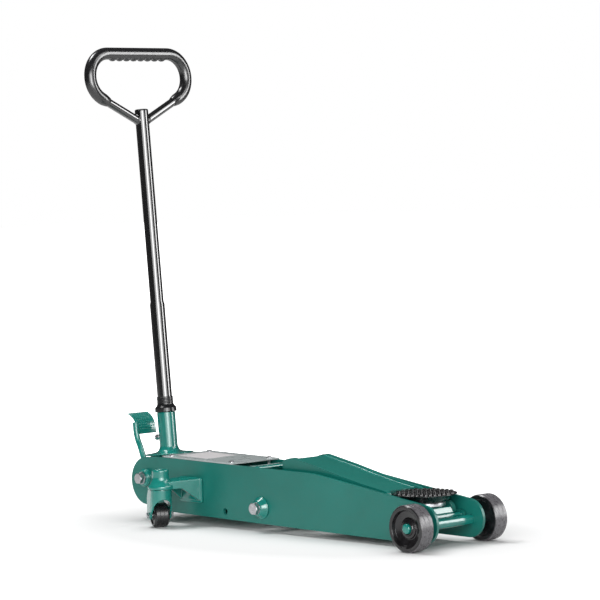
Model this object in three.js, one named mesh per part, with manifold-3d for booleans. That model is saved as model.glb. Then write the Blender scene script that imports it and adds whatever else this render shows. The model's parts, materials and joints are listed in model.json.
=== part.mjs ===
// Long-chassis hydraulic trolley jack with a D-shaped pull handle and a foot pedal.
//
// Millimetres, +Z up. While the pieces are made, X = 0 and Z = 45 is the front axle, +X points to
// the lifting end, and Y = 0 is the middle plane. The last lines move the whole jack so that its
// origin is the middle of its footprint on the floor.
import * as THREE from 'three';
import { mergeVertices } from 'three/addons/utils/BufferGeometryUtils.js';
import Module from 'manifold-3d';

const wasm = await Module();
wasm.setup();

// ---- driving dimensions ----------------------------------------------------------------------
const GAP = 0.3; // air between two pieces that touch
const RUN = 0.4; // radial air round a turning shaft

const PLATE_IN = 60; // inner face of each side plate
const PLATE_OUT = 66; // outer face of each side plate
const INSIDE = PLATE_IN - GAP; // half length of what fits between the side plates

const WHEEL_R = 45;
const WHEEL_IN = 84.6;
const WHEEL_OUT = 118;
const AXLE_R = 10;
const AXLE = { x: 0, z: WHEEL_R };

const HANDLE_PIVOT = { x: -812, z: 89 };
const HANDLE_LEAN = THREE.MathUtils.degToRad(4.48); // the parked handle leans back
const TAIL = { x: -813, z: 82, r: 50 }; // rounded tail of the side plates
const NOSE = { x: -4, z: 47.5, r: 37.5 }; // rounded nose of the side plates

const ARM_PIVOT = { x: -458, z: 49 };
const BOLT_R = 8; // M16 pivot bolts
const ARM_CHEEK_IN = 40;
const ARM_CHEEK_OUT = 50;
const SADDLE_PIVOT = { x: -46, z: 63 };
const ARM_NOSE_R = 17.5;
const ARM_HUB_R = 27;
const LIFT_MAX = THREE.MathUtils.degToRad(55);
const CRANK_R = 50; // crank radius that the ram pulls on
const CRANK_START = Math.PI / 2 - LIFT_MAX / 2; // the crank swings evenly about upright
const CRANK_PIN_R = 8;
const CRANK_PIN = {
  x: ARM_PIVOT.x + CRANK_R * Math.cos(CRANK_START),
  z: ARM_PIVOT.z + CRANK_R * Math.sin(CRANK_START),
};
const CRANK_RISE = CRANK_R - (CRANK_PIN.z - ARM_PIVOT.z); // height the pin gains half way

// The levelling links stand parallel to the arm, shifted by this much at both ends.
const LINK_SHIFT = { x: 27, z: -9 };
const LINK_IN = 52;
const LINK_OUT = 58;
const LINK_EYE_R = 9;
const LINK_PIN_R = 5;
const LINK_ANCHOR = { x: ARM_PIVOT.x + LINK_SHIFT.x, z: ARM_PIVOT.z + LINK_SHIFT.z };
const LINK_FRONT = { x: SADDLE_PIVOT.x + LINK_SHIFT.x, z: SADDLE_PIVOT.z + LINK_SHIFT.z };

const SADDLE_X = -61;
const CARRIER_HALF = 28;
const CARRIER_TOP = 72.7;
const SADDLE_DISC = { r: 39.4, low: 73, high: 81 };
const PAD = { r: 62, low: 81.3, rim: 95.9, high: 98, stud: 101.5 };
const STEM_R = 11.8;

const CYLINDER_Z = 96;
const CYLINDER_R = 28;
const ROD_R = 11;

const CASTER = { x: -684, y: 137, yaw: THREE.MathUtils.degToRad(26), trail: 16 };
const CASTER_WHEEL_R = 25;
const CASTER_WHEEL_HALF = 15.5;
const FORK_TOP = 79;
const FORK_R = 22;

// Heights on the handle are measured along its axis from the pivot.
const SOCKET_R = 19.3;
const SOCKET_TOP = 133;
const SOCKET_SCREW = { z: 81, turn: Math.PI / 4 }; // set screw, turned from straight back
const SHAFT_R = 15.8;
const SHAFT_UPPER_R = 14.3;
const SHAFT_STEP = 362;
const SHAFT_TOP = 772;
const GRIP_TOP = 893.4; // centre line of the crossbar
const GRIP_HALF = 131; // centre line of each side bar
const GRIP_BEND = 50;
const GRIP_R = 12.75;
const FRAME_R = 8.8;
const LEG_ANGLE = THREE.MathUtils.degToRad(27);
const LEG_FOOT = 745.3; // where the two leg centre lines would meet

const PEDAL_Y = -50.5; // centre of the pedal's bar
const PEDAL_WIDTH = 54;

// ---- materials -------------------------------------------------------------------------------
const paint = (colour, roughness, metalness) =>
  new THREE.MeshStandardMaterial({ color: colour, roughness, metalness });
const GREEN = paint(0x3c7f78, 0.38, 0.0);
const BLACK_PAINT = paint(0x1c1b1e, 0.25, 0.0);
const BLACK_RUBBER = paint(0x262527, 0.7, 0.0);
const BLACK_NYLON = paint(0x232226, 0.45, 0.0);
const ZINC = paint(0xb4b5bb, 0.35, 0.9);
const STEEL = paint(0x8e9092, 0.35, 1.0);
const GREY_SHEET = paint(0x95a1a0, 0.45, 0.2);
const CAST = paint(0x55585a, 0.6, 0.6);

// ---- geometry helpers ------------------------------------------------------------------------
function toManifold(geometry) {
  const bare = geometry.clone();
  for (const name of Object.keys(bare.attributes)) {
    if (name !== 'position') bare.deleteAttribute(name);
  }
  const merged = mergeVertices(bare, 1e-4);
  const solid = new wasm.Manifold(
    new wasm.Mesh({
      numProp: 3,
      vertProperties: new Float32Array(merged.attributes.position.array),
      triVerts: new Uint32Array(merged.index.array),
    }),
  );
  return solid;
}

function toGeometry(solid) {
  const { vertProperties, triVerts } = solid.getMesh();
  const geometry = new THREE.BufferGeometry();
  geometry.setAttribute('position', new THREE.BufferAttribute(vertProperties, 3));
  geometry.setIndex(new THREE.BufferAttribute(triVerts, 1));
  geometry.computeVertexNormals();
  return geometry;
}

const join = (...geometries) =>
  toGeometry(geometries.map(toManifold).reduce((whole, next) => whole.add(next)));

const cut = (geometry, ...tools) =>
  toGeometry(tools.map(toManifold).reduce((rest, tool) => rest.subtract(tool), toManifold(geometry)));

const overlap = (first, second) => toGeometry(toManifold(first).intersect(toManifold(second)));

// Cylinders along each axis, given by their two end positions.
function cylinderZ(x, y, r, low, high, sides = 16, topR = r) {
  return new THREE.CylinderGeometry(topR, r, high - low, sides)
    .rotateX(Math.PI / 2)
    .translate(x, y, (low + high) / 2);
}

function cylinderY(x, z, r, low, high, sides = 16, highR = r) {
  return new THREE.CylinderGeometry(highR, r, high - low, sides).translate(x, (low + high) / 2, z);
}

function cylinderX(y, z, r, low, high, sides = 16) {
  return new THREE.CylinderGeometry(r, r, high - low, sides)
    .rotateZ(Math.PI / 2)
    .translate((low + high) / 2, y, z);
}

function box(xLow, xHigh, yLow, yHigh, zLow, zHigh) {
  return new THREE.BoxGeometry(xHigh - xLow, yHigh - yLow, zHigh - zLow).translate(
    (xLow + xHigh) / 2,
    (yLow + yHigh) / 2,
    (zLow + zHigh) / 2,
  );
}

// A side-view outline (x, z) made solid from yLow to yHigh.
function plate(shape, yLow, yHigh, curveSegments = 8) {
  return new THREE.ExtrudeGeometry(shape, {
    depth: yHigh - yLow,
    bevelEnabled: false,
    curveSegments,
  })
    .rotateX(Math.PI / 2)
    .translate(0, yHigh, 0);
}

const outline = (points) => new THREE.Shape(points.map(([a, b]) => new THREE.Vector2(a, b)));

// A turned piece about the Y axis through (x, z): the profile holds [radius, y] pairs.
function turned(profile, x, z, sides = 24) {
  const points = profile.map(([r, y]) => new THREE.Vector2(r, y));
  return new THREE.LatheGeometry(points, sides).rotateY(Math.PI / sides).translate(x, 0, z);
}

// A turned piece about the Z axis: the profile holds [radius, z] pairs.
function turnedZ(profile, sides = 24) {
  const points = profile.map(([r, z]) => new THREE.Vector2(r, z));
  return new THREE.LatheGeometry(points, sides).rotateX(Math.PI / 2);
}

// The convex band round two circles in the side view, as a link or a lever has.
function linkShape(a, rA, b, rB) {
  const along = Math.atan2(b.z - a.z, b.x - a.x);
  const length = Math.hypot(b.x - a.x, b.z - a.z);
  const open = Math.acos((rA - rB) / length);
  const shape = new THREE.Shape();
  shape.absarc(a.x, a.z, rA, along + open, along - open, false);
  shape.absarc(b.x, b.z, rB, along - open, along + open, false);
  return shape;
}

const jack = new THREE.Group();

function add(name, geometry, material, parent = jack) {
  const piece = new THREE.Mesh(geometry, material);
  piece.name = name;
  parent.add(piece);
  return piece;
}

const SIDES = [
  { name: 'left', sign: 1 },
  { name: 'right', sign: -1 },
];

// The same span of Y on either side of the middle plane, low value first.
const span = (sign, near, far) => (sign > 0 ? [near, far] : [-far, -near]);

// ---- chassis ---------------------------------------------------------------------------------
function sidePlateShape() {
  const slope = Math.atan2(127 - 84.6, 304 + 1.2); // the front part of the top edge falls away
  const shape = new THREE.Shape();
  shape.moveTo(-735, 21.5);
  shape.lineTo(-304, 14.2);
  shape.lineTo(NOSE.x, NOSE.z - NOSE.r);
  shape.absarc(NOSE.x, NOSE.z, NOSE.r, -Math.PI / 2, Math.PI / 2 - slope, false);
  shape.lineTo(-304, 127);
  shape.lineTo(-458, 128.8);
  shape.lineTo(-752, 134.2);
  shape.lineTo(-790, 133.2);
  shape.absarc(TAIL.x, TAIL.z, TAIL.r, Math.PI / 2, Math.PI * 1.42, false);
  shape.closePath();
  return shape;
}

function addSidePlates() {
  for (const { name, sign } of SIDES) {
    const [low, high] = span(sign, PLATE_IN, PLATE_OUT);
    const [bossLow, bossHigh] = span(sign, PLATE_OUT - 1, WHEEL_IN - GAP);
    const through = (at, r) => cylinderY(at.x, at.z, r, Math.min(low, bossLow) - 1,
      Math.max(high, bossHigh) + 1);
    const axleBoss = cylinderY(AXLE.x, AXLE.z, AXLE_R + 4, bossLow, bossHigh, 24);
    const body = cut(
      join(plate(sidePlateShape(), low, high, 14), axleBoss),
      through(AXLE, AXLE_R + RUN),
      through(ARM_PIVOT, BOLT_R + RUN),
      through(HANDLE_PIVOT, BOLT_R + RUN),
      through({ x: -567, z: 34 }, 6.5),
    );
    add(`side_plate_${name}`, body, GREEN);
  }
}

function addFrontAxle() {
  const end = WHEEL_OUT - 2;
  const dome = [
    [0, -end - 3], [AXLE_R * 0.7, -end - 2], [AXLE_R, -end], [AXLE_R, end],
    [AXLE_R * 0.7, end + 2], [0, end + 3],
  ];
  add('front_axle', turned(dome, AXLE.x, AXLE.z, 20), GREEN);
}

// A roller with a dished outer face: a rim step, a conical dish and a hub round the axle.
function frontWheelGeometry(sign) {
  const sides = 32;
  const r = WHEEL_R / Math.cos(Math.PI / sides); // the flats touch the true circle
  const profile = [
    [AXLE_R + RUN, WHEEL_IN], [r - 3, WHEEL_IN], [r, WHEEL_IN + 3], [r, WHEEL_OUT - 4],
    [r - 4, WHEEL_OUT], [36, WHEEL_OUT], [34, WHEEL_OUT - 4], [27, WHEEL_OUT - 5],
    [25, WHEEL_OUT - 8], [14, WHEEL_OUT - 7], [AXLE_R + RUN, WHEEL_OUT - 4],
    [AXLE_R + RUN, WHEEL_IN],
  ];
  const wheel = turned(profile, 0, 0, sides);
  if (sign < 0) wheel.rotateX(Math.PI);
  return wheel.translate(AXLE.x, 0, AXLE.z);
}

function addFrontWheels() {
  for (const { name, sign } of SIDES) {
    add(`front_wheel_${name}`, frontWheelGeometry(sign), BLACK_NYLON);
  }
}

function addCrossPieces() {
  const nosed = new THREE.Shape();
  nosed.moveTo(-511, 121);
  nosed.lineTo(-490.5, 121);
  nosed.absarc(-490.5, 124.5, 3.5, -Math.PI / 2, Math.PI / 2, false);
  nosed.lineTo(-511, 128);
  nosed.closePath();
  add('cross_member', plate(nosed, -INSIDE, INSIDE, 8), GREEN);
  add('base_plate', box(-780, -560, -INSIDE, INSIDE, 23, 28), GREEN);
}

function addArmPivotBolt() {
  const head = 80;
  for (const { name, sign } of SIDES) {
    const low = PLATE_OUT + GAP;
    const high = head - GAP;
    const boss = [
      [BOLT_R + RUN, low], [22.5, low], [22.5, low + 3], [15, high], [BOLT_R + RUN, high],
      [BOLT_R + RUN, low],
    ];
    const ring = turned(boss, 0, 0, 20);
    if (sign < 0) ring.rotateX(Math.PI);
    add(`arm_pivot_boss_${name}`, ring.translate(ARM_PIVOT.x, 0, ARM_PIVOT.z), GREEN);
  }
  const shank = cylinderY(0, 0, BOLT_R, -head - 1, head + 8);
  const hexHead = new THREE.CylinderGeometry(13, 13, 10, 6).translate(0, -head - 5, 0);
  add(
    'arm_pivot_bolt',
    join(shank, hexHead).translate(ARM_PIVOT.x, 0, ARM_PIVOT.z),
    ZINC,
  );
  const nut = new THREE.CylinderGeometry(13, 13, 7, 6).translate(0, head + 3.7, 0);
  const bore = cylinderY(0, 0, BOLT_R + GAP, head, head + 8);
  add('arm_pivot_nut', cut(nut, bore).translate(ARM_PIVOT.x, 0, ARM_PIVOT.z), ZINC);
}

function addHandlePivots() {
  const head = 80;
  for (const { name, sign } of SIDES) {
    const low = PLATE_OUT + GAP;
    const boss = [
      [BOLT_R + RUN, low], [19, low], [19, low + 9], [17, head - GAP], [BOLT_R + RUN, head - GAP],
      [BOLT_R + RUN, low],
    ];
    const ring = turned(boss, 0, 0, 20);
    const shank = cylinderY(0, 0, BOLT_R, 28, head + 4);
    const washer = cylinderY(0, 0, 13, head, head + 3);
    const hexHead = new THREE.CylinderGeometry(12, 12, 10, 6).translate(0, head + 7.5, 0);
    const bolt = join(shank, washer, hexHead);
    for (const piece of [ring, bolt]) {
      if (sign < 0) piece.rotateX(Math.PI);
      piece.translate(HANDLE_PIVOT.x, 0, HANDLE_PIVOT.z);
    }
    add(`handle_pivot_boss_${name}`, ring, GREEN);
    add(`handle_pivot_bolt_${name}`, bolt, ZINC);
  }
}

// The cover lies on the sloping top edges of the side plates.
const topEdge = (x) => 128.8 + ((134.2 - 128.8) * (x + 458)) / (458 - 752);

function addCover() {
  const rear = -759;
  const front = -542;
  const lift = GAP + 0.2;
  const thick = 2.5;
  const shape = outline([
    [rear, topEdge(rear) + lift], [front, topEdge(front) + lift],
    [front, topEdge(front) + lift + thick], [rear, topEdge(rear) + lift + thick],
  ]);
  const spots = [];
  for (const x of [-747, -560]) {
    for (const y of [-52, 52]) spots.push({ x, y });
  }
  const holes = spots.map(({ x, y }) => cylinderZ(x, y, 3.4, 120, 145, 16));
  add('cover_plate', cut(plate(shape, -PLATE_OUT, PLATE_OUT), ...holes), GREY_SHEET);
  spots.forEach(({ x, y }, index) => {
    const top = topEdge(x) + lift + thick + GAP + 0.2;
    const head = cylinderZ(x, y, 6, top, top + 3, 16, 4.5);
    const shank = cylinderZ(x, y, 3, top - 14, top + 1, 16);
    add(`cover_screw_${index + 1}`, join(head, shank), ZINC);
  });
}

// ---- hydraulic unit --------------------------------------------------------------------------
function addHydraulics() {
  const bore = cylinderX(15, 59, 8 + RUN, -753, -728);
  const valveBore = cylinderZ(HANDLE_PIVOT.x, 0, 5 + RUN, 34, 60, 20);
  const block = join(
    box(-752, -690, -46, 46, 28.3, 124),
    box(-826, -750, -12, 12, 28.3, 44),
  );
  add('pump_body', cut(block, bore, valveBore), CAST);
  const tankFront = -516;
  const tank = join(
    cylinderX(0, CYLINDER_Z, CYLINDER_R, -689.7, tankFront - 14, 28),
    cylinderX(0, CYLINDER_Z, CYLINDER_R - 3, tankFront - 15, tankFront, 28),
  );
  const ramBore = cylinderX(0, CYLINDER_Z, ROD_R + RUN, -640, tankFront + 1, 16);
  add('hydraulic_cylinder', cut(tank, ramBore), GREEN);
  const gland = cut(
    cylinderX(0, CYLINDER_Z, 22, tankFront + GAP, tankFront + 13, 6),
    cylinderX(0, CYLINDER_Z, ROD_R + RUN, tankFront, tankFront + 14, 16),
  );
  add('cylinder_gland_nut', gland, STEEL);
}

function addRam() {
  const rear = CRANK_PIN.x - 17;
  add('ram_rod', cylinderX(0, CYLINDER_Z, ROD_R, -580, rear - GAP, 20), STEEL);
  const slotHalf = CRANK_PIN_R + 0.7; // the pin wanders this little from a constant ratio
  const mid = CRANK_PIN.z + CRANK_RISE / 2;
  const reach = CRANK_RISE / 2 + 0.7;
  const slot = linkShape({ x: CRANK_PIN.x, z: mid - reach }, slotHalf,
    { x: CRANK_PIN.x, z: mid + reach }, slotHalf);
  const body = box(rear, CRANK_PIN.x + 17, -28, 28, CYLINDER_Z - 22, CYLINDER_Z + 22);
  add('ram_crosshead', cut(body, plate(slot, -30, 30, 10)), STEEL);
}

function addPumpPlunger() {
  const head = cylinderX(15, 59, 13, -800.4, -796, 20);
  const rod = cylinderX(15, 59, 8, -797, -757, 16);
  add('pump_plunger', join(head, rod), STEEL);
}

// ---- lift arm --------------------------------------------------------------------------------
// Top edge of the arm in the side view, from its crest forward to the saddle.
const ARM_TOP = [
  [-380, 153], [-337, 144.5], [-294, 136], [-238, 123.5], [-183, 112.5], [-128, 103.5],
];

function armCheekShape() {
  const lower = linkShape(ARM_PIVOT, ARM_HUB_R, SADDLE_PIVOT, ARM_NOSE_R);
  const upper = outline([
    [CRANK_PIN.x, CRANK_PIN.z - 30], [-300, 60], [-111, 68], [-111, 100],
    ...[...ARM_TOP].reverse(), [-398, 148.7], [-410, 144.5], [-405, 118],
    [CRANK_PIN.x + 6, CRANK_PIN.z + 15],
  ]);
  const crank = linkShape(ARM_PIVOT, ARM_HUB_R, CRANK_PIN, 16);
  return [lower, upper, crank];
}

function addLiftArm() {
  const parts = [];
  for (const { sign } of SIDES) {
    const [low, high] = span(sign, ARM_CHEEK_IN, ARM_CHEEK_OUT);
    for (const shape of armCheekShape()) parts.push(plate(shape, low, high, 10));
  }
  const inner = ARM_CHEEK_IN + 1;
  const web = outline([
    ...ARM_TOP.map(([x, z]) => [x, z - 3]),
    ...[...ARM_TOP].reverse().map(([x, z]) => [x, z - 9]),
  ]);
  parts.push(plate(web, -inner, inner));
  parts.push(cylinderY(ARM_PIVOT.x, ARM_PIVOT.z, 14, -inner, inner));
  const holes = [
    cylinderY(ARM_PIVOT.x, ARM_PIVOT.z, BOLT_R + RUN, -60, 60),
    cylinderY(CRANK_PIN.x, CRANK_PIN.z, CRANK_PIN_R + GAP, -60, 60),
    cylinderY(SADDLE_PIVOT.x, SADDLE_PIVOT.z, 7 + GAP, -60, 60),
  ];
  add('lift_arm', cut(join(...parts), ...holes), GREEN);
  add('crank_pin', cylinderY(CRANK_PIN.x, CRANK_PIN.z, CRANK_PIN_R, -49.8, 49.8), STEEL);
}

// ---- levelling links, carrier and saddle -----------------------------------------------------
function addLevellingLinks() {
  for (const { name, sign } of SIDES) {
    const [low, high] = span(sign, LINK_IN, LINK_OUT);
    const bar = cut(
      plate(linkShape(LINK_ANCHOR, LINK_EYE_R, LINK_FRONT, LINK_EYE_R), low, high, 6),
      cylinderY(LINK_ANCHOR.x, LINK_ANCHOR.z, LINK_PIN_R + RUN, low - 1, high + 1),
      cylinderY(LINK_FRONT.x, LINK_FRONT.z, LINK_PIN_R + RUN, low - 1, high + 1),
    );
    add(`levelling_link_${name}`, bar, GREEN);
    const [pinLow, pinHigh] = span(sign, LINK_IN - 0.4, INSIDE);
    const pin = cylinderY(LINK_ANCHOR.x, LINK_ANCHOR.z, LINK_PIN_R, pinLow, pinHigh, 20);
    add(`link_anchor_pin_${name}`, pin, STEEL);
  }
}

function addCarrier() {
  const shape = new THREE.Shape();
  shape.moveTo(-88, CARRIER_TOP);
  shape.lineTo(-88, 60);
  shape.lineTo(-74, 42);
  shape.lineTo(-34, LINK_FRONT.z - 10);
  shape.absarc(LINK_FRONT.x, LINK_FRONT.z, 8.5, -Math.PI * 0.6, Math.PI * 0.35, false);
  shape.lineTo(-19, CARRIER_TOP - 4);
  shape.absarc(-23, CARRIER_TOP - 4, 4, 0, Math.PI / 2, false);
  shape.closePath();
  const body = cut(
    plate(shape, -CARRIER_HALF, CARRIER_HALF, 8),
    cylinderZ(SADDLE_X, 0, STEM_R + RUN, 47, 90),
    cylinderY(SADDLE_PIVOT.x, SADDLE_PIVOT.z, 7 + GAP, 15, 60),
    cylinderY(SADDLE_PIVOT.x, SADDLE_PIVOT.z, 7 + GAP, -60, -15),
    cylinderY(LINK_FRONT.x, LINK_FRONT.z, LINK_PIN_R + GAP, -60, 60),
  );
  add('saddle_carrier', body, GREEN);
  for (const { name, sign } of SIDES) {
    const [low, high] = span(sign, 16, ARM_CHEEK_OUT);
    const stub = cylinderY(SADDLE_PIVOT.x, SADDLE_PIVOT.z, 7 - 0.1, low, high, 20);
    add(`carrier_pin_${name}`, stub, STEEL);
  }
  const linkPin = cylinderY(LINK_FRONT.x, LINK_FRONT.z, LINK_PIN_R, -59, 59, 20);
  add('link_front_pin', linkPin, GREEN);
}

function addSaddle() {
  const { r, low, high } = SADDLE_DISC;
  const plateAndStem = turnedZ([
    [0, 50], [STEM_R - 1, 50], [STEM_R, 51], [STEM_R, low], [r - 1.5, low], [r, low + 1.5],
    [r, high - 1.5], [r - 1.5, high], [0, high],
  ], 28).translate(SADDLE_X, 0, 0);
  add('saddle_plate', plateAndStem, ZINC);

  const pitch = 12;
  const pieces = [
    turnedZ([
      [0, PAD.low], [r, PAD.low], [PAD.r - 3, PAD.rim], [PAD.r, PAD.rim + 0.5],
      [PAD.r, PAD.high - 1], [PAD.r - 1, PAD.high], [0, PAD.high],
    ], 32),
  ];
  const count = Math.floor(PAD.r / pitch);
  for (let column = -count; column <= count; column += 1) {
    for (let row = -count; row <= count; row += 1) {
      const x = column * pitch;
      const y = row * pitch;
      if (Math.hypot(x, y) > PAD.r - 6) continue;
      pieces.push(cylinderZ(x, y, 4.6, PAD.high - 1, PAD.stud, 6, 3.4));
    }
  }
  add('saddle_pad', join(...pieces).translate(SADDLE_X, 0, 0), BLACK_RUBBER);
}

// ---- rear casters ----------------------------------------------------------------------------
function casterBracketGeometry() {
  const root = PLATE_OUT + GAP; // face against the side plate
  const { x, y } = CASTER;
  const front = outline([[root, 48], [root, 98], [y, 95], [y, 79.6], [y - 31, 79.6]]);
  const elevation = new THREE.ExtrudeGeometry(front, { depth: 80, bevelEnabled: false })
    .rotateX(Math.PI / 2)
    .rotateZ(Math.PI / 2)
    .translate(x - 40, 0, 0);
  const plan = outline([[x - 18, root], [x + 49, root], [x + 20, y], [x - 18, y]]);
  const footprint = new THREE.ExtrudeGeometry(plan, { depth: 120, bevelEnabled: false });
  // The casting is hollow from below, behind a slanted front wall and under a top wall.
  const wall = 7;
  const hollowFront = outline([
    [root + 6, 40], [root + 6, 98 - wall - 3], [y - 29, 98 - wall - 4], [y - 29, 40],
  ]);
  const hollow = overlap(
    new THREE.ExtrudeGeometry(hollowFront, { depth: 80, bevelEnabled: false })
      .rotateX(Math.PI / 2)
      .rotateZ(Math.PI / 2)
      .translate(x - 40, 0, 0),
    new THREE.ExtrudeGeometry(
      outline([[x - 18 + wall, root], [x + 48 - wall, root], [x + 19 - wall, y], [x - 18 + wall, y]]),
      { depth: 120, bevelEnabled: false },
    ),
  );
  const hub = turnedZ([
    [0, 79.6], [26, 79.6], [27, 81], [27, 86], [20, 96], [17.5, 103], [17.5, 118], [16, 120],
    [0, 120],
  ], 24).translate(x, y, 0);
  const flange = box(x - 18, x + 50, root, root + 5, 47, 99);
  const bore = cylinderZ(x, y, 7 + RUN, 70, 125);
  const recess = cylinderZ(x, y, 12.5, 110, 125);
  return cut(join(cut(overlap(elevation, footprint), hollow), hub, flange), bore, recess);
}

function forkGeometry() {
  const t = CASTER.trail;
  const wall = new THREE.Shape();
  wall.moveTo(-FORK_R, FORK_TOP);
  wall.lineTo(-FORK_R - 1.6, 16);
  wall.lineTo(FORK_R + 1.6, 16);
  wall.lineTo(FORK_R, FORK_TOP);
  wall.closePath();
  const archTop = 41;
  const archR = CASTER_WHEEL_HALF + 2.6;
  const opening = new THREE.Shape();
  opening.moveTo(-archR, 0);
  opening.lineTo(archR, 0);
  opening.absarc(0, archTop, archR, 0, Math.PI, false);
  opening.closePath();
  const along = (shape) =>
    new THREE.ExtrudeGeometry(shape, { depth: 120, bevelEnabled: false, curveSegments: 10 })
      .rotateX(Math.PI / 2)
      .rotateZ(Math.PI / 2)
      .translate(-60, 0, 0);
  const side = new THREE.Shape();
  side.moveTo(FORK_R, FORK_TOP);
  side.lineTo(-FORK_R, FORK_TOP);
  side.lineTo(-46, 38);
  side.lineTo(-46, 27);
  side.lineTo(-38, 16);
  side.absarc(-t, CASTER_WHEEL_R, 9, -Math.PI / 2, 0, false);
  side.lineTo(FORK_R, 58);
  side.closePath();
  const footprint = new THREE.ExtrudeGeometry(
    linkShape({ x: 0, z: 0 }, FORK_R, { x: -t - 6, z: 0 }, FORK_R + 2.6),
    { depth: 100, bevelEnabled: false, curveSegments: 12 },
  );
  const hood = overlap(overlap(along(wall), plate(side, -40, 40, 10)), footprint);
  return cut(
    hood,
    along(opening),
    cylinderZ(0, 0, 7 + GAP, 50, 90),
    cylinderY(-t, CASTER_WHEEL_R, 4 + GAP, -40, 40, 16),
  );
}

function addCaster(name, sign) {
  const bracket = casterBracketGeometry();
  if (sign < 0) {
    const mirrored = toManifold(bracket).mirror([0, 1, 0]);
    add(`caster_bracket_${name}`, toGeometry(mirrored), GREEN);
  } else {
    add(`caster_bracket_${name}`, bracket, GREEN);
  }
  const swivel = new THREE.Group();
  swivel.position.set(CASTER.x, sign * CASTER.y, 0);
  swivel.rotation.z = sign * CASTER.yaw;
  jack.add(swivel);
  add(`caster_fork_${name}`, forkGeometry(), GREEN, swivel);
  const kingpin = join(
    cylinderZ(0, 0, 7, 60, 112),
    cylinderZ(0, 0, 11, 110.4, 117, 6),
  );
  add(`caster_kingpin_${name}`, kingpin, ZINC, swivel);
  const axle = join(
    cylinderY(-CASTER.trail, CASTER_WHEEL_R, 4, -25, 25, 16),
    cylinderY(-CASTER.trail, CASTER_WHEEL_R, 6.5, -28, -24, 6),
    cylinderY(-CASTER.trail, CASTER_WHEEL_R, 6.5, 24, 28, 6),
  );
  add(`caster_axle_${name}`, axle, ZINC, swivel);
  const sides = 24;
  const r = CASTER_WHEEL_R / Math.cos(Math.PI / sides);
  const half = CASTER_WHEEL_HALF;
  const wheel = turned([
    [4 + RUN, -half], [10, -half], [12, -half + 2], [18, -half + 2], [20, -half], [r - 3, -half],
    [r, -half + 3.5], [r, half - 3.5], [r - 3, half], [20, half], [18, half - 2],
    [12, half - 2], [10, half], [4 + RUN, half], [4 + RUN, -half],
  ], -CASTER.trail, CASTER_WHEEL_R, sides);
  add(`caster_wheel_${name}`, wheel, BLACK_NYLON, swivel);
}

// ---- handle ----------------------------------------------------------------------------------
const handle = new THREE.Group();
handle.position.set(HANDLE_PIVOT.x, 0, HANDLE_PIVOT.z);
handle.rotation.y = -HANDLE_LEAN;
jack.add(handle);

const ROLLER = { z: -30, r: 9, pin: 4 };

function addYoke() {
  const parts = [];
  for (const [low, high] of [[30, 42], [-42, -30]]) {
    const ear = plate(linkShape({ x: 0, z: 0 }, 21, { x: 0, z: 40 }, 13), low, high, 12);
    parts.push(overlap(ear, box(-60, 60, -60, 60, -60, 44)));
  }
  const lobe = linkShape({ x: 0, z: 0 }, 20, { x: 0, z: ROLLER.z }, 11);
  parts.push(plate(lobe, 30, 42, 12));
  parts.push(turnedZ([
    [0, 43.3], [49.6, 43.3], [50.6, 44], [50.6, 46.4], [28, 49.4], [22.5, 53.5], [SOCKET_R, 61],
    [SOCKET_R, SOCKET_TOP], [0, SOCKET_TOP],
  ], 28));
  const holes = [
    cylinderZ(0, 0, SHAFT_R + RUN, 20, SOCKET_TOP + 5, 24),
    cylinderY(0, 0, BOLT_R + RUN, -60, 60),
    cylinderY(0, ROLLER.z, ROLLER.pin + GAP, 20, 60, 16),
    cylinderX(0, SOCKET_SCREW.z, 4 + GAP, -30, 0, 16).rotateZ(SOCKET_SCREW.turn),
  ];
  add('handle_yoke', cut(join(...parts), ...holes), GREEN, handle);
  const screw = join(
    cylinderX(0, SOCKET_SCREW.z, 4, -29, -SHAFT_R - 0.2, 16),
    cylinderX(0, SOCKET_SCREW.z, 7, -26, -SOCKET_R - 0.6, 6),
  ).rotateZ(SOCKET_SCREW.turn);
  add('socket_screw', screw, ZINC, handle);
  add('roller_pin', cylinderY(0, ROLLER.z, ROLLER.pin, 8, 42, 16), STEEL, handle);
  const roller = cut(
    cylinderY(0, ROLLER.z, ROLLER.r, 8.3, 28, 24),
    cylinderY(0, ROLLER.z, ROLLER.pin + GAP, 0, 40, 16),
  );
  add('pump_roller', roller, STEEL, handle);
}

function addPedal() {
  const y = PEDAL_Y;
  const at = (x, z) => new THREE.Vector3(x - HANDLE_PIVOT.x, y, z - HANDLE_PIVOT.z);
  const path = new THREE.CatmullRomCurve3([
    at(-824, 92), at(-830, 106), at(-841, 129), at(-849.5, 149.5), at(-857, 164),
    at(-861.5, 179), at(-863, 192), at(-863.5, 201.5),
  ]);
  const section = new THREE.Shape();
  section.absarc(0, 0, 6.25, 0, Math.PI * 2, false);
  const bar = new THREE.ExtrudeGeometry(section, {
    extrudePath: path, steps: 14, curveSegments: 5,
  });
  const hub = cylinderY(0, 0, 17, y - 6.3, y + 6.3);
  // The tread is a quarter-round sheet that faces forward and up.
  const tread = new THREE.Shape();
  const bend = { x: -898, z: 182.5, r: 38 };
  tread.moveTo(bend.x + bend.r, 175.5);
  tread.absarc(bend.x, bend.z, bend.r, 0, Math.PI * 0.43, false);
  tread.lineTo(bend.x + (bend.r - 4) * Math.cos(Math.PI * 0.43),
    bend.z + (bend.r - 4) * Math.sin(Math.PI * 0.43));
  tread.absarc(bend.x, bend.z, bend.r - 4, Math.PI * 0.43, 0, true);
  tread.lineTo(bend.x + bend.r - 4, 175.5);
  tread.closePath();
  const sheet = plate(tread, y + 2, y + PEDAL_WIDTH, 12)
    .translate(-HANDLE_PIVOT.x, 0, -HANDLE_PIVOT.z);
  const bore = cylinderY(0, 0, BOLT_R + RUN, y - 20, y + 20);
  const upright = new THREE.Group();
  upright.rotation.y = HANDLE_LEAN;
  handle.add(upright);
  add('foot_pedal', cut(join(bar, hub, sheet), bore), GREEN, upright);
}

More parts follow.
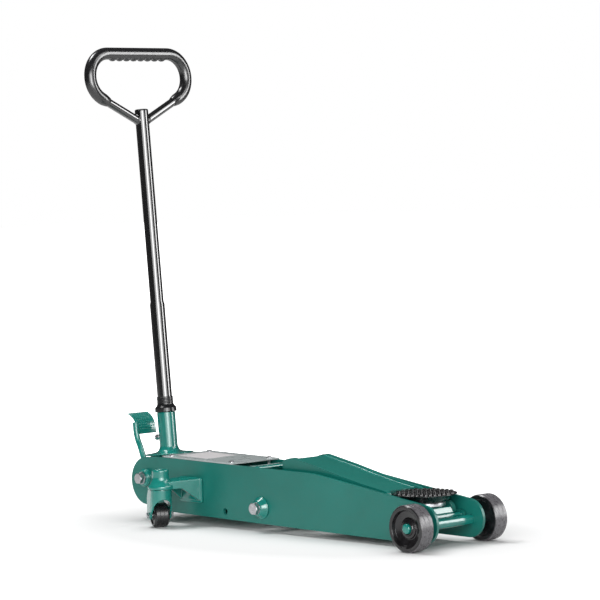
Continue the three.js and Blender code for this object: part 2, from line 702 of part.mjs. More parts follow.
function addShaft() {
  const wall = 2.5;
  const tube = turnedZ([
    [SHAFT_R - wall, 24], [SHAFT_R, 24], [SHAFT_R, SHAFT_STEP], [SHAFT_UPPER_R, SHAFT_STEP + 6],
    [SHAFT_UPPER_R, SHAFT_TOP], [SHAFT_UPPER_R - wall, SHAFT_TOP],
    [SHAFT_UPPER_R - wall, SHAFT_STEP], [SHAFT_R - wall, SHAFT_STEP - 6],
    [SHAFT_R - wall, 24],
  ], 24);
  const screwSeat = cylinderX(0, SOCKET_SCREW.z, 5, -20, -SHAFT_R + 0.6, 16)
    .rotateZ(SOCKET_SCREW.turn);
  add('handle_shaft', cut(tube, screwSeat), BLACK_PAINT, handle);
  const plugR = SHAFT_UPPER_R - wall - GAP;
  add('shaft_end_cap', turnedZ([
    [0, SHAFT_TOP - 14], [plugR, SHAFT_TOP - 14], [plugR, SHAFT_TOP + GAP],
    [SHAFT_UPPER_R, SHAFT_TOP + GAP], [SHAFT_UPPER_R, SHAFT_TOP + 2],
    [SHAFT_UPPER_R - 2, SHAFT_TOP + 3.5], [0, SHAFT_TOP + 3.5],
  ], 24), BLACK_RUBBER, handle);
  const inner = SHAFT_R + GAP;
  add('shaft_collar', turnedZ([
    [inner, SOCKET_TOP + GAP], [23, SOCKET_TOP + GAP], [23, SOCKET_TOP + 9],
    [17.6, SOCKET_TOP + 16], [17.6, SOCKET_TOP + 33], [inner, SOCKET_TOP + 33],
    [inner, SOCKET_TOP + GAP],
  ], 24), BLACK_RUBBER, handle);
  const plug = SHAFT_R - wall - GAP;
  add('release_rod', turnedZ([
    [0, -6], [3.5, -4.9], [5.2, -3], [6, 0], [5.2, 3], [4, 4.6], [4, 26], [plug, 26],
    [plug, 40], [0, 40],
  ], 16), STEEL, handle);
}

function addReleaseSpindle() {
  const { x, z } = HANDLE_PIVOT;
  const bowl = [[0, z - 7], [3.6, z - 5.9], [5.8, z - 3.4], [6.4, z - 2.4]];
  const spindle = turnedZ([
    [0, 35], [5, 35], [5, z - 16], [9, z - 12], [9, z - 2.4], ...bowl.reverse(),
  ], 16).translate(x, 0, 0);
  add('release_spindle', spindle, STEEL);
}

// The centre line of the D in the handle's own plane, from the left leg round to the right one.
function handleLoop(legStart) {
  const corner = (sideY, z, start, sweep) => {
    const points = [];
    const steps = 6;
    for (let step = 0; step <= steps; step += 1) {
      const angle = start + (sweep * step) / steps;
      points.push([sideY + GRIP_BEND * Math.cos(angle), z + GRIP_BEND * Math.sin(angle)]);
    }
    return points;
  };
  const inset = GRIP_HALF - GRIP_BEND;
  const turn = Math.PI / 2 - LEG_ANGLE; // bend between a side bar and its leg
  const cornerZ = LEG_FOOT + GRIP_HALF * Math.tan(LEG_ANGLE) + GRIP_BEND * Math.tan(turn / 2);
  const foot = [legStart * Math.cos(LEG_ANGLE), LEG_FOOT + legStart * Math.sin(LEG_ANGLE)];
  const half = [
    foot,
    ...corner(inset, cornerZ, -turn, turn),
    ...corner(inset, GRIP_TOP - GRIP_BEND, 0, Math.PI / 2),
  ];
  const other = half.map(([y, z]) => [-y, z]).reverse();
  const path = new THREE.CurvePath();
  const loop = [...half, ...other].map(([y, z]) => new THREE.Vector3(0, y, z));
  for (let index = 1; index < loop.length; index += 1) {
    path.add(new THREE.LineCurve3(loop[index - 1], loop[index]));
  }
  return path;
}

// A round bar through the corner points of a path, with a mitred ring of points at each corner.
function barAlong(path, r, sides, boreR = 0) {
  const corners = [path.curves[0].v1, ...path.curves.map((line) => line.v2)];
  const rings = corners.map((point, index) => {
    const before = corners[Math.max(index - 1, 0)];
    const after = corners[Math.min(index + 1, corners.length - 1)];
    const forward = after.clone().sub(before).normalize();
    const side = new THREE.Vector3(1, 0, 0);
    const up = new THREE.Vector3().crossVectors(forward, side);
    return { point, side, up };
  });
  const positions = [];
  const ringOf = ({ point, side, up }, radius) => {
    for (let step = 0; step < sides; step += 1) {
      const angle = (2 * Math.PI * step) / sides;
      const spot = point.clone()
        .addScaledVector(side, radius * Math.cos(angle))
        .addScaledVector(up, radius * Math.sin(angle));
      positions.push(spot.x, spot.y, spot.z);
    }
  };
  rings.forEach((ring) => ringOf(ring, r));
  if (boreR > 0) rings.forEach((ring) => ringOf(ring, boreR));
  const index = [];
  const last = rings.length - 1;
  const innerStart = rings.length * sides;
  const quad = (a, b, c, d) => index.push(a, b, c, a, c, d);
  for (let step = 0; step < sides; step += 1) {
    const next = (step + 1) % sides;
    for (let ring = 0; ring < last; ring += 1) {
      const a = ring * sides;
      const b = a + sides;
      quad(a + step, a + next, b + next, b + step);
      if (boreR > 0) {
        const c = innerStart + a;
        const d = innerStart + b;
        quad(c + step, d + step, d + next, c + next);
      }
    }
    if (boreR > 0) {
      const endOuter = last * sides;
      const endInner = innerStart + endOuter;
      quad(next, step, innerStart + step, innerStart + next);
      quad(endOuter + step, endOuter + next, endInner + next, endInner + step);
    } else if (step > 0 && step < sides - 1) {
      index.push(0, next, step);
      const end = last * sides;
      index.push(end, end + step, end + next);
    }
  }
  const geometry = new THREE.BufferGeometry();
  geometry.setAttribute('position', new THREE.Float32BufferAttribute(positions, 3));
  geometry.setIndex(index);
  geometry.computeVertexNormals();
  return geometry;
}

function addGrip() {
  const frame = cut(
    barAlong(handleLoop(9), FRAME_R, 12),
    cylinderZ(0, 0, SHAFT_UPPER_R + GAP, SHAFT_TOP - 90, SHAFT_TOP + 40, 32),
  );
  add('handle_frame', frame, BLACK_PAINT, handle);
  const sleeve = barAlong(handleLoop(99), GRIP_R, 12, FRAME_R + GAP);
  const bumps = [];
  for (let finger = 0; finger < 8; finger += 1) {
    const y = (finger - 3.5) * 19.2;
    bumps.push(new THREE.SphereGeometry(1, 8, 5).scale(9, 8, 7.5).translate(0, y, GRIP_TOP - 9));
  }
  const clear = cylinderY(0, GRIP_TOP, FRAME_R + GAP, -90, 90, 12);
  add('hand_grip', cut(join(sleeve, ...bumps), clear), BLACK_RUBBER, handle);
}

// ---- assembly --------------------------------------------------------------------------------
addSidePlates();
addFrontAxle();
addFrontWheels();
addCrossPieces();
addArmPivotBolt();
addHandlePivots();
addCover();
addHydraulics();
addRam();
addPumpPlunger();
addLiftArm();
addLevellingLinks();
addCarrier();
addSaddle();
for (const { name, sign } of SIDES) addCaster(name, sign);
addYoke();
addPedal();
addShaft();
addReleaseSpindle();
addGrip();

const group = new THREE.Group();
group.add(jack);
const bounds = new THREE.Box3().setFromObject(group, true);
jack.position.x = -(bounds.min.x + bounds.max.x) / 2;
jack.position.y = -(bounds.min.y + bounds.max.y) / 2;
jack.position.z = -bounds.min.z;

export default group;
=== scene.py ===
import json
import math

import bmesh
import bpy
from mathutils import Matrix, Vector
from mathutils.geometry import tessellate_polygon


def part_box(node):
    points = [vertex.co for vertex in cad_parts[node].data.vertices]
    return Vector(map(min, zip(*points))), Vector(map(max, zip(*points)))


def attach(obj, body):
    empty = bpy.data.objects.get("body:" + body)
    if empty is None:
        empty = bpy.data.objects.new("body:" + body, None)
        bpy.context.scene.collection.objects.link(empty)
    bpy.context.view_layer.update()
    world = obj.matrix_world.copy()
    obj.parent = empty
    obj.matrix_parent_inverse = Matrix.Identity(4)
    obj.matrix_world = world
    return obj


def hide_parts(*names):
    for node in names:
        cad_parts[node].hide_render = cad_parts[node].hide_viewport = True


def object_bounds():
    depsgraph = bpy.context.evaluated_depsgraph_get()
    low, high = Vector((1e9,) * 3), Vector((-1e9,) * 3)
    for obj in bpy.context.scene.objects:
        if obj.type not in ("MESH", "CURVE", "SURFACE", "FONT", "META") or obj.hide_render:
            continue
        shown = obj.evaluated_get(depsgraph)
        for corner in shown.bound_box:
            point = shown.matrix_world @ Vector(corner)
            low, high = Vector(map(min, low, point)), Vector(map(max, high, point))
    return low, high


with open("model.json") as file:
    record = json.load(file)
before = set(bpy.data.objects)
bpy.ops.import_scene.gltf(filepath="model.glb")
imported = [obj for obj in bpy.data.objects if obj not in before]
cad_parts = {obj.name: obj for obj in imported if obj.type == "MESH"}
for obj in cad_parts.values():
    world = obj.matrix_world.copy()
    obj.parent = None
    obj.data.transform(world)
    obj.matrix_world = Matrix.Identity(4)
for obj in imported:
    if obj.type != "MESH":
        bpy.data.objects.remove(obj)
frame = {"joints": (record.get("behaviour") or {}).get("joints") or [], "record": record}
CAD_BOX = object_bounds()

# Lengths are millimetres in the frame's own axes until a piece is made.
MM = 0.001


def middle(node):
    low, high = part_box(node)
    return (low + high) / (2 * MM)


def corners(node):
    low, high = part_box(node)
    return low / MM, high / MM


# ---- places, all read from the frame ---------------------------------------------------------
JOINTS = {joint["name"]: joint for joint in frame["joints"]}
AXLE = middle("front_axle")
ARM_PIVOT = middle("arm_pivot_boss_left")
CRANK = middle("crank_pin")
SADDLE_PIVOT = middle("carrier_pin_left")
SADDLE = middle("saddle_pad")
LINK_REAR = middle("link_anchor_pin_left")
LINK_FRONT = middle("link_front_pin")
HANDLE_PIVOT = middle("handle_pivot_boss_left")
HANDLE_AXIS = Vector(JOINTS["handle_twist"]["axis"])
LEAN = -math.atan2(HANDLE_AXIS.x, HANDLE_AXIS.z)
PLATE_LOW, PLATE_HIGH = corners("side_plate_left")
PLATE_IN = PLATE_LOW.y
PLATE_OUT = PLATE_IN + 6
GAP = 0.3


def from_axle(x):
    """Lengthwise places on the chassis are measured from the front axle, rearwards negative."""
    return AXLE.x + x


# ---- shells: lists of points and faces ---------------------------------------------------------
TO_AXIS = {
    "X": lambda a, b, h: (h, a, b),
    "Y": lambda a, b, h: (a, h, b),
    "Z": lambda a, b, h: (a, b, h),
}


def shift(shell, x=0.0, y=0.0, z=0.0):
    points, faces = shell
    return [Vector(p) + Vector((x, y, z)) for p in points], faces


def moved(shell, matrix):
    points, faces = shell
    return [matrix @ Vector(p) for p in points], faces


def mirrored(shell):
    points, faces = shell
    return [Vector((p[0], -p[1], p[2])) for p in points], [face[::-1] for face in faces]


def joined(*shells):
    points, faces = [], []
    for own_points, own_faces in shells:
        start = len(points)
        points += own_points
        faces += [tuple(start + index for index in face) for face in own_faces]
    return points, faces


def lathe(profile, axis="Z", sides=96):
    """A turned shell: the profile holds (radius, height) pairs, and closes on itself or on the axis."""
    points, rings = [], []
    for radius, height in profile:
        start = len(points)
        if radius < 1e-6:
            points.append(Vector(TO_AXIS[axis](0, 0, height)))
            rings.append([start] * sides)
            continue
        for step in range(sides):
            angle = 2 * math.pi * step / sides
            spot = TO_AXIS[axis](radius * math.cos(angle), radius * math.sin(angle), height)
            points.append(Vector(spot))
        rings.append(list(range(start, start + sides)))
    on_axis = profile[0][0] < 1e-6 and profile[-1][0] < 1e-6
    pairs = list(zip(rings, rings[1:]))
    if not on_axis:
        pairs.append((rings[-1], rings[0]))
    faces = []
    for first, second in pairs:
        for step in range(sides):
            after = (step + 1) % sides
            face = [first[step], first[after], second[after], second[step]]
            face = list(dict.fromkeys(face))
            if len(face) > 2:
                faces.append(tuple(face))
    return points, faces


def prism(outline, low, high, axis="Y", holes=()):
    """An outline with holes, made solid between two heights along an axis."""
    loops = [list(outline)] + [list(hole) for hole in holes]
    flat = [(a, b) for loop in loops for a, b in loop]
    count = len(flat)
    points = [Vector(TO_AXIS[axis](a, b, height)) for height in (low, high) for a, b in flat]
    cap = tessellate_polygon([[Vector((a, b, 0)) for a, b in loop] for loop in loops])
    faces = [tuple(face) for face in cap]
    faces += [tuple(count + index for index in reversed(face)) for face in cap]
    start = 0
    for loop in loops:
        size = len(loop)
        for step in range(size):
            a, b = start + step, start + (step + 1) % size
            faces.append((a, b, count + b, count + a))
        start += size
    return points, faces


def arc(x, z, radius, start, end, steps=24):
    """Points on an arc, with angles in degrees from +X towards +Z."""
    turn = [math.radians(start + (end - start) * step / steps) for step in range(steps + 1)]
    return [(x + radius * math.cos(angle), z + radius * math.sin(angle)) for angle in turn]


def circle(x, z, radius, sides=64):
    return arc(x, z, radius, 0, 360 * (sides - 1) / sides, sides - 1)


def rounded(outline, radius, steps=6, closed=True):
    """The outline with each corner replaced by a smooth curve that starts radius before it."""
    size = len(outline)
    result = []
    for index, corner in enumerate(outline):
        if not closed and index in (0, size - 1):
            result.append(tuple(corner))
            continue
        corner = Vector(corner)
        before = Vector(outline[index - 1]) - corner
        after = Vector(outline[(index + 1) % size]) - corner
        reach = min(radius, before.length * 0.49, after.length * 0.49)
        first = corner + before.normalized() * reach
        last = corner + after.normalized() * reach
        for step in range(steps + 1):
            t = step / steps
            spot = first * (1 - t) ** 2 + corner * 2 * t * (1 - t) + last * t * t
            result.append(tuple(spot))
    return result


def link_outline(a, radius_a, b, radius_b, steps=28):
    """The band round two circles in the side view."""
    along = math.degrees(math.atan2(b[1] - a[1], b[0] - a[0]))
    length = math.hypot(b[0] - a[0], b[1] - a[1])
    reach = math.degrees(math.acos((radius_a - radius_b) / length))
    rear = arc(a[0], a[1], radius_a, along + reach, along + 360 - reach, steps)
    return rear + arc(b[0], b[1], radius_b, along - reach, along + reach, steps)


def tube(path, radius, sides=32, bore=0.0, squeeze=None):
    """A round bar or tube along a path, closed at both ends."""
    path = [Vector(point) for point in path]
    last = len(path) - 1
    forward = [(path[min(i + 1, last)] - path[max(i - 1, 0)]).normalized() for i in range(last + 1)]
    side = forward[0].orthogonal().normalized()
    points = []
    for index, spot in enumerate(path):
        side = (side - forward[index] * side.dot(forward[index])).normalized()
        up = forward[index].cross(side)
        here = radius(index / last) if callable(radius) else radius
        for ring_radius in ([here, bore] if bore else [here]):
            for step in range(sides):
                angle = 2 * math.pi * step / sides
                points.append(spot + side * math.cos(angle) * ring_radius
                              + up * math.sin(angle) * ring_radius)
    per = sides * (2 if bore else 1)
    faces = []
    for ring in range(last):
        for step in range(sides):
            after = (step + 1) % sides
            a, b = ring * per, (ring + 1) * per
            faces.append((a + step, a + after, b + after, b + step))
            if bore:
                faces.append((a + sides + after, a + sides + step, b + sides + step, b + sides + after))
    end = last * per
    if bore:
        for step in range(sides):
            after = (step + 1) % sides
            faces.append((after, step, sides + step, sides + after))
            faces.append((end + step, end + after, end + sides + after, end + sides + step))
    else:
        faces.append(tuple(reversed(range(sides))))
        faces.append(tuple(range(end, end + sides)))
    return points, faces


def smooth_path(points, steps=10):
    """A Catmull-Rom curve through the points."""
    points = [Vector(point) for point in points]
    ends = [points[0] * 2 - points[1]] + points + [points[-1] * 2 - points[-2]]
    result = []
    for p0, p1, p2, p3 in zip(ends, ends[1:], ends[2:], ends[3:]):
        for step in range(steps):
            t = step / steps
            result.append(0.5 * (2 * p1 + (p2 - p0) * t + (2 * p0 - 5 * p1 + 4 * p2 - p3) * t * t
                                 + (3 * p1 - p0 - 3 * p2 + p3) * t ** 3))
    return result + [points[-1]]


def mesh_of(shell, name, scale=MM):
    points, faces = shell
    mesh = bpy.data.meshes.new(name)
    mesh.from_pydata([Vector(p) * scale for p in points], [], faces)
    work = bmesh.new()
    work.from_mesh(mesh)
    bmesh.ops.remove_doubles(work, verts=work.verts, dist=1e-4 * scale)
    bmesh.ops.dissolve_degenerate(work, edges=work.edges, dist=1e-4 * scale)
    bmesh.ops.recalc_face_normals(work, faces=work.faces)
    work.to_mesh(mesh)
    work.free()
    return mesh


def boolean(operation, shell, *tools):
    """The shell cut by, joined to or kept inside each tool."""
    collection = bpy.context.scene.collection
    base = bpy.data.objects.new("work", mesh_of(shell, "work", 1))
    collection.objects.link(base)
    helpers = []
    for tool in tools:
        helper = bpy.data.objects.new("tool", mesh_of(tool, "tool", 1))
        collection.objects.link(helper)
        helpers.append(helper)
        step = base.modifiers.new("cut", "BOOLEAN")
        step.operation = operation
        step.solver = "EXACT"
        step.object = helper
    graph = bpy.context.evaluated_depsgraph_get()
    mesh = bpy.data.meshes.new_from_object(base.evaluated_get(graph))
    result = [v.co.copy() for v in mesh.vertices], [tuple(p.vertices) for p in mesh.polygons]
    for helper in [base, *helpers]:
        bpy.data.objects.remove(helper)
    return result


def cut(shell, *tools):
    return boolean("DIFFERENCE", shell, *tools)


def union(shell, *tools):
    return boolean("UNION", shell, *tools)


def overlap(shell, *tools):
    return boolean("INTERSECT", shell, *tools)


# ---- pieces ------------------------------------------------------------------------------------
BODY_OF = {node: body for body, nodes in frame["record"]["behaviour"]["bodies"].items()
           for node in nodes}
SHARP = math.radians(28)


def place(obj, node, material, origin, replaced):
    obj.data.materials.append(material)
    centre = Vector(origin) * MM
    obj.data.transform(Matrix.Translation(-centre))
    obj.location = centre
    bpy.context.scene.collection.objects.link(obj)
    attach(obj, BODY_OF[node])
    if replaced:
        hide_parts(*replaced)
    return obj


def machined(name, node, shell, material, bevel=0.5, segments=3, origin=None, replaced=None):
    """A crisp piece with small rounded edges."""
    mesh = mesh_of(shell, name)
    for face in mesh.polygons:
        face.use_smooth = True
    mesh.set_sharp_from_angle(angle=math.radians(50))
    obj = bpy.data.objects.new(name, mesh)
    if bevel:
        edge = obj.modifiers.new("edges", "BEVEL")
        edge.width = bevel * MM
        edge.segments = segments
        edge.limit_method = "ANGLE"
        edge.angle_limit = SHARP
        edge.miter_outer = "MITER_ARC"
    weights = obj.modifiers.new("normals", "WEIGHTED_NORMAL")
    weights.keep_sharp = not bevel
    origin = middle(node) if origin is None else origin
    return place(obj, node, material, origin, [node] if replaced is None else replaced)


def cast(name, node, shell, material, voxel=0.8, rounds=8, origin=None, replaced=None):
    """A casting: overlapping shells fused and softened at every edge."""
    obj = bpy.data.objects.new(name, mesh_of(shell, name))
    fuse = obj.modifiers.new("fuse", "REMESH")
    fuse.mode = "VOXEL"
    fuse.voxel_size = voxel * MM
    fuse.use_smooth_shade = True
    soften = obj.modifiers.new("soften", "SMOOTH")
    soften.factor = 0.5
    soften.iterations = rounds
    origin = middle(node) if origin is None else origin
    return place(obj, node, material, origin, [node] if replaced is None else replaced)


def crisp(node, *settings, **more):
    """A machined piece that stands for one CAD node and has its name."""
    return machined(node, node, *settings, **more)


def moulded(node, *settings, **more):
    """A cast piece that stands for one CAD node and has its name."""
    return cast(node, node, *settings, **more)


# ---- materials ---------------------------------------------------------------------------------
def linear(red, green, blue):
    def channel(value):
        value /= 255
        return value / 12.92 if value <= 0.04045 else ((value + 0.055) / 1.055) ** 2.4
    return channel(red), channel(green), channel(blue), 1.0


class Recipe:
    """A material's node tree, built a line at a time."""

    def __init__(self, name, **values):
        self.material = bpy.data.materials.new(name)
        self.material.use_nodes = True
        self.nodes = self.material.node_tree.nodes
        self.links = self.material.node_tree.links
        self.shader = self.nodes["Principled BSDF"]
        for socket, value in values.items():
            self.shader.inputs[socket.replace("_", " ")].default_value = value
        self.place = self.node("ShaderNodeTexCoord").outputs["Object"]

    def node(self, kind, settings=None, **inputs):
        made = self.nodes.new(kind)
        for key, value in (settings or {}).items():
            setattr(made, key, value)
        for socket, value in inputs.items():
            target = made.inputs[socket.replace("_", " ")]
            if isinstance(value, bpy.types.NodeSocket):
                self.links.new(value, target)
            else:
                target.default_value = value
        return made

    def set(self, socket, value):
        self.links.new(value, self.shader.inputs[socket])

    def noise(self, size, detail=3.0, roughness=0.5):
        """Noise whose lumps are about size millimetres across."""
        made = self.node("ShaderNodeTexNoise", Vector=self.place, Scale=1 / (size * MM),
                         Detail=detail, Roughness=roughness)
        return made.outputs["Fac"]

    def ramp(self, value, low, high, to_low, to_high):
        made = self.node("ShaderNodeMapRange", Value=value, From_Min=low, From_Max=high,
                         To_Min=to_low, To_Max=to_high)
        return made.outputs["Result"]

    def math(self, operation, first, second=0.0):
        made = self.node("ShaderNodeMath", {"operation": operation})
        for index, value in enumerate((first, second)):
            if isinstance(value, bpy.types.NodeSocket):
                self.links.new(value, made.inputs[index])
            else:
                made.inputs[index].default_value = value
        return made.outputs[0]

    def mix(self, share, first, second):
        made = self.node("ShaderNodeMix", {"data_type": "RGBA"})
        for index, value in ((0, share), (6, first), (7, second)):
            if isinstance(value, bpy.types.NodeSocket):
                self.links.new(value, made.inputs[index])
            else:
                made.inputs[index].default_value = value
        return made.outputs[2]

    def bump(self, height, depth, strength=1.0, under=None):
        """Bump of the given depth in millimetres, on top of another bump if there is one."""
        inputs = {"Height": height, "Distance": depth * MM, "Strength": strength}
        if under is not None:
            inputs["Normal"] = under
        return self.node("ShaderNodeBump", **inputs).outputs["Normal"]

    def edges(self, radius, low, high):
        """One near outer edges, and nothing on flats."""
        soft = self.node("ShaderNodeBevel", {"samples": 4}, Radius=radius * MM).outputs[0]
        true = self.node("ShaderNodeNewGeometry").outputs["Normal"]
        dot = self.node("ShaderNodeVectorMath", {"operation": "DOT_PRODUCT"})
        self.links.new(soft, dot.inputs[0])
        self.links.new(true, dot.inputs[1])
        return self.ramp(dot.outputs["Value"], high, low, 0.0, 1.0)


def enamel(name, colour, deep, worn, roughness, peel, grain, coat, ior=1.5):
    """Sprayed enamel: orange peel, cloudy tone, patchy gloss and thin chipped edges."""
    made = Recipe(name, Coat_Weight=coat, Coat_Roughness=0.12, IOR=ior)
    clouds = made.ramp(made.noise(110, 3), 0.3, 0.7, 0.0, 1.0)
    tone = made.mix(clouds, deep, colour)
    chips = made.math("MULTIPLY", made.edges(0.9, 0.9, 0.99),
                      made.ramp(made.noise(7, 5, 0.7), 0.56, 0.66, 0.0, 1.0))
    made.set("Base Color", made.mix(chips, tone, worn))
    low, high = roughness
    made.set("Roughness", made.ramp(made.noise(28, 5, 0.6), 0.3, 0.7, low, high))
    peeled = made.bump(made.noise(2.6, 2), peel)
    made.set("Normal", made.bump(made.noise(0.9, 2), grain, 1.0, peeled))
    return made.material


def plated(name, colour, tint, roughness, swirl=1.2):
    """Bright plating with faint machining haze and a little tarnish."""
    made = Recipe(name, Metallic=1.0)
    made.set("Base Color", made.mix(made.ramp(made.noise(9, 4), 0.35, 0.7, 0.0, 1.0), colour, tint))
    low, high = roughness
    made.set("Roughness", made.ramp(made.noise(3.5, 4, 0.7), 0.3, 0.7, low, high))
    made.set("Normal", made.bump(made.noise(swirl, 3), 0.02))
    return made.material


def polymer(name, colour, pale, roughness, grain, depth, scuff=0.0, ior=1.48, tread=0.0):
    """Moulded rubber or nylon: fine grain, light dust, scuffed edges, and a tread worn by the floor."""
    made = Recipe(name, IOR=ior)
    dust = made.ramp(made.noise(16, 6, 0.65), 0.46, 0.74, 0.0, 0.12)
    rubbed = made.math("MULTIPLY", made.edges(1.4, 0.88, 0.99), scuff)
    share = made.math("MAXIMUM", dust, rubbed)
    low, high = roughness
    rough = made.ramp(made.noise(10, 4), 0.3, 0.7, low, high)
    if tread:
        # How far a point is from the wheel's own axle tells the tread from the faces.
        flat = made.node("ShaderNodeVectorMath", {"operation": "MULTIPLY"}, Vector=made.place)
        flat.inputs[1].default_value = (1, 0, 1)
        reach = made.node("ShaderNodeVectorMath", {"operation": "LENGTH"}, Vector=flat.outputs["Vector"])
        outside = made.ramp(reach.outputs["Value"], (tread - 2.2) * MM, (tread - 0.6) * MM, 0.0, 1.0)
        streak = made.ramp(made.noise(5, 5, 0.7), 0.3, 0.7, 0.45, 1.0)
        worn = made.math("MULTIPLY", outside, streak)
        share = made.math("MAXIMUM", share, worn)
        rough = made.math("ADD", rough, made.math("MULTIPLY", worn, 0.12))
    made.set("Base Color", made.mix(share, colour, pale))
    made.set("Roughness", rough)
    made.set("Normal", made.bump(made.noise(grain, 2), depth))
    return made.material


GREEN = enamel("green_enamel", linear(17, 114, 104), linear(12, 105, 95), linear(96, 150, 140),
               (0.34, 0.44), 0.022, 0.005, 0.12)
GREEN_CAST = enamel("green_enamel_casting", linear(18, 132, 121), linear(12, 118, 108),
                    linear(104, 164, 152), (0.17, 0.29), 0.03, 0.006, 0.8)
COVER = enamel("grey_cover_enamel", linear(176, 184, 184), linear(166, 174, 174),
               linear(196, 200, 200), (0.24, 0.34), 0.015, 0.004, 0.4)
BLANK = enamel("blank_panel_film", linear(222, 218, 219), linear(212, 209, 210),
               linear(226, 226, 226), (0.3, 0.4), 0.006, 0.002, 0.2)
BLACK = enamel("black_enamel", linear(18, 18, 20), linear(14, 14, 15), linear(40, 40, 42),
               (0.12, 0.18), 0.003, 0.001, 1.0, 1.8)
ZINC = plated("zinc_plating", linear(206, 207, 211), linear(184, 184, 186), (0.22, 0.38))
STEEL = plated("ground_steel", linear(160, 162, 165), linear(136, 136, 138), (0.22, 0.38), 0.6)
RAW_CAST = plated("raw_casting", linear(110, 112, 114), linear(92, 92, 94), (0.5, 0.65), 1.6)
RUBBER = polymer("saddle_rubber", linear(16, 15, 17), linear(60, 58, 60), (0.12, 0.22), 1.1, 0.006, 0.06,
                 1.7)
WHEEL = polymer("black_nylon_wheel", linear(17, 16, 18), linear(108, 106, 110), (0.16, 0.26), 1.4, 0.006,
                0.06, 1.6, 45.0)
NYLON = polymer("black_nylon", linear(17, 16, 18), linear(84, 82, 86), (0.22, 0.33), 1.4, 0.006, 0.15,
                1.6)
TRIM = polymer("black_trim", linear(18, 18, 20), linear(56, 56, 60), (0.18, 0.28), 1.3, 0.006, 0.05, 1.6)
GRIP = polymer("grip_rubber", linear(20, 20, 22), linear(52, 52, 56), (0.18, 0.26), 0.8, 0.004, 0.0, 1.8)


# ---- bolts and other small hardware -------------------------------------------------------------
def hexagon(across_points, low, high, axis="Y"):
    """A hexagon with the turned chamfer of a bolt head on its high side."""
    radius = across_points / 2
    flat = radius * math.cos(math.pi / 6)
    deep = (radius - flat) * 0.9
    sign = 1 if high > low else -1
    cone = lathe([(0, low), (radius + 1, low), (radius + 1, high - sign * deep * 1.7),
                  (flat * 0.98, high), (0, high)], axis)
    return overlap(prism(circle(0, 0, radius, 6), min(low, high), max(low, high), axis), cone)


def weld(path, radius=2.4, ripple=1.6):
    """A weld bead with the ripples that the torch leaves."""
    length = sum((Vector(b) - Vector(a)).length for a, b in zip(path, path[1:]))
    turns = length / ripple
    return tube(path, lambda t: radius * (1 + 0.09 * math.sin(2 * math.pi * turns * t)), 12)


def ring_path(x, y, z, radius, steps=180, axis="Y", start=0.0, sweep=360.0):
    angles = [math.radians(start + sweep * step / steps) for step in range(steps + 1)]
    return [Vector((x, y, z)) + Vector(TO_AXIS[axis](radius * math.cos(a), radius * math.sin(a), 0))
            for a in angles]


# ---- chassis -----------------------------------------------------------------------------------
BOLT_R = 8.4
TAIL = (from_axle(-813), 82, 50)
NOSE = (from_axle(-4), 47.5, 37.5)
KNEE = from_axle(-304)


def plate_outline():
    slope = math.degrees(math.atan2(127 - 84.6, 304 + 1.2))
    nose = arc(*NOSE, -90, 90 - slope, 40)
    tail = arc(*TAIL, 90, 255.6, 40)
    top = [(KNEE, 127), (from_axle(-458), 128.8), (from_axle(-752), 134.2),
           (from_axle(-790), 133.2)]
    bend = rounded([nose[-1], *top, tail[0]], 26, closed=False)[1:-1]
    return [(KNEE, 14.2), *nose, *bend, *tail, (from_axle(-735), 21.5)]


def side_plates():
    for name, sign in (("left", 1), ("right", -1)):
        node = f"side_plate_{name}"
        holes = [circle(AXLE.x, AXLE.z, 10.4), circle(ARM_PIVOT.x, ARM_PIVOT.z, BOLT_R),
                 circle(HANDLE_PIVOT.x, HANDLE_PIVOT.z, BOLT_R), circle(from_axle(-567), 34, 6.5)]
        plate = prism(plate_outline(), PLATE_IN, PLATE_OUT, "Y", holes)
        boss = shift(lathe([(10.4, PLATE_OUT - 0.5), (14, PLATE_OUT - 0.5), (14, PLATE_HIGH.y - 0.6),
                            (13.4, PLATE_HIGH.y), (10.4, PLATE_HIGH.y)], "Y"), AXLE.x, 0, AXLE.z)
        body = union(plate, boss)
        bead = weld(ring_path(AXLE.x, PLATE_OUT + 0.3, AXLE.z, 14.4), 1.5)
        shells = [body, bead]
        if sign < 0:
            shells = [mirrored(shell) for shell in shells]
        crisp(node, shells[0], GREEN, 1.0)
        machined(f"axle_boss_weld_{name}", node, shells[1], GREEN_CAST, 0, replaced=[])


def front_end():
    low, high = corners("front_axle")
    half = high.y
    rod = [(0, -half), (6.5, -half + 0.6), (9.2, -half + 2.4), (9.9, -half + 4), (9.9, half - 4),
           (9.2, half - 2.4), (6.5, half - 0.6), (0, half)]
    crisp("front_axle", shift(lathe(rod, "Y"), AXLE.x, 0, AXLE.z), GREEN_CAST, 0.6)
    wheel_low, wheel_high = corners("front_wheel_left")
    inner, outer = wheel_low.y, wheel_high.y
    r = AXLE.z - 0.05
    profile = [
        (10.6, inner + 1), (16, inner), (34, inner + 2), (36, inner), (r - 2.6, inner), (r, inner + 2.6),
        (r, inner + 10.4), (r - 0.6, inner + 10.9), (r - 0.6, inner + 11.5), (r, inner + 12),
        (r, outer - 12), (r - 0.6, outer - 11.5), (r - 0.6, outer - 10.9), (r, outer - 10.4),
        (r, outer - 2.8), (r - 2.8, outer), (37.2, outer), (36, outer - 0.8), (33.4, outer - 7.4),
        (32, outer - 8.2), (21.4, outer - 11), (20, outer - 10.6), (18.6, outer - 8.4), (14, outer - 7.6),
        (13, outer - 6), (11.4, outer - 5.4), (10.6, outer - 6),
    ]
    wheel = lathe(profile, "Y", 160)
    for name, sign in (("left", 1), ("right", -1)):
        shell = shift(wheel, AXLE.x, 0, AXLE.z)
        node = f"front_wheel_{name}"
        crisp(node, shell if sign > 0 else mirrored(shell), WHEEL, 0.45)


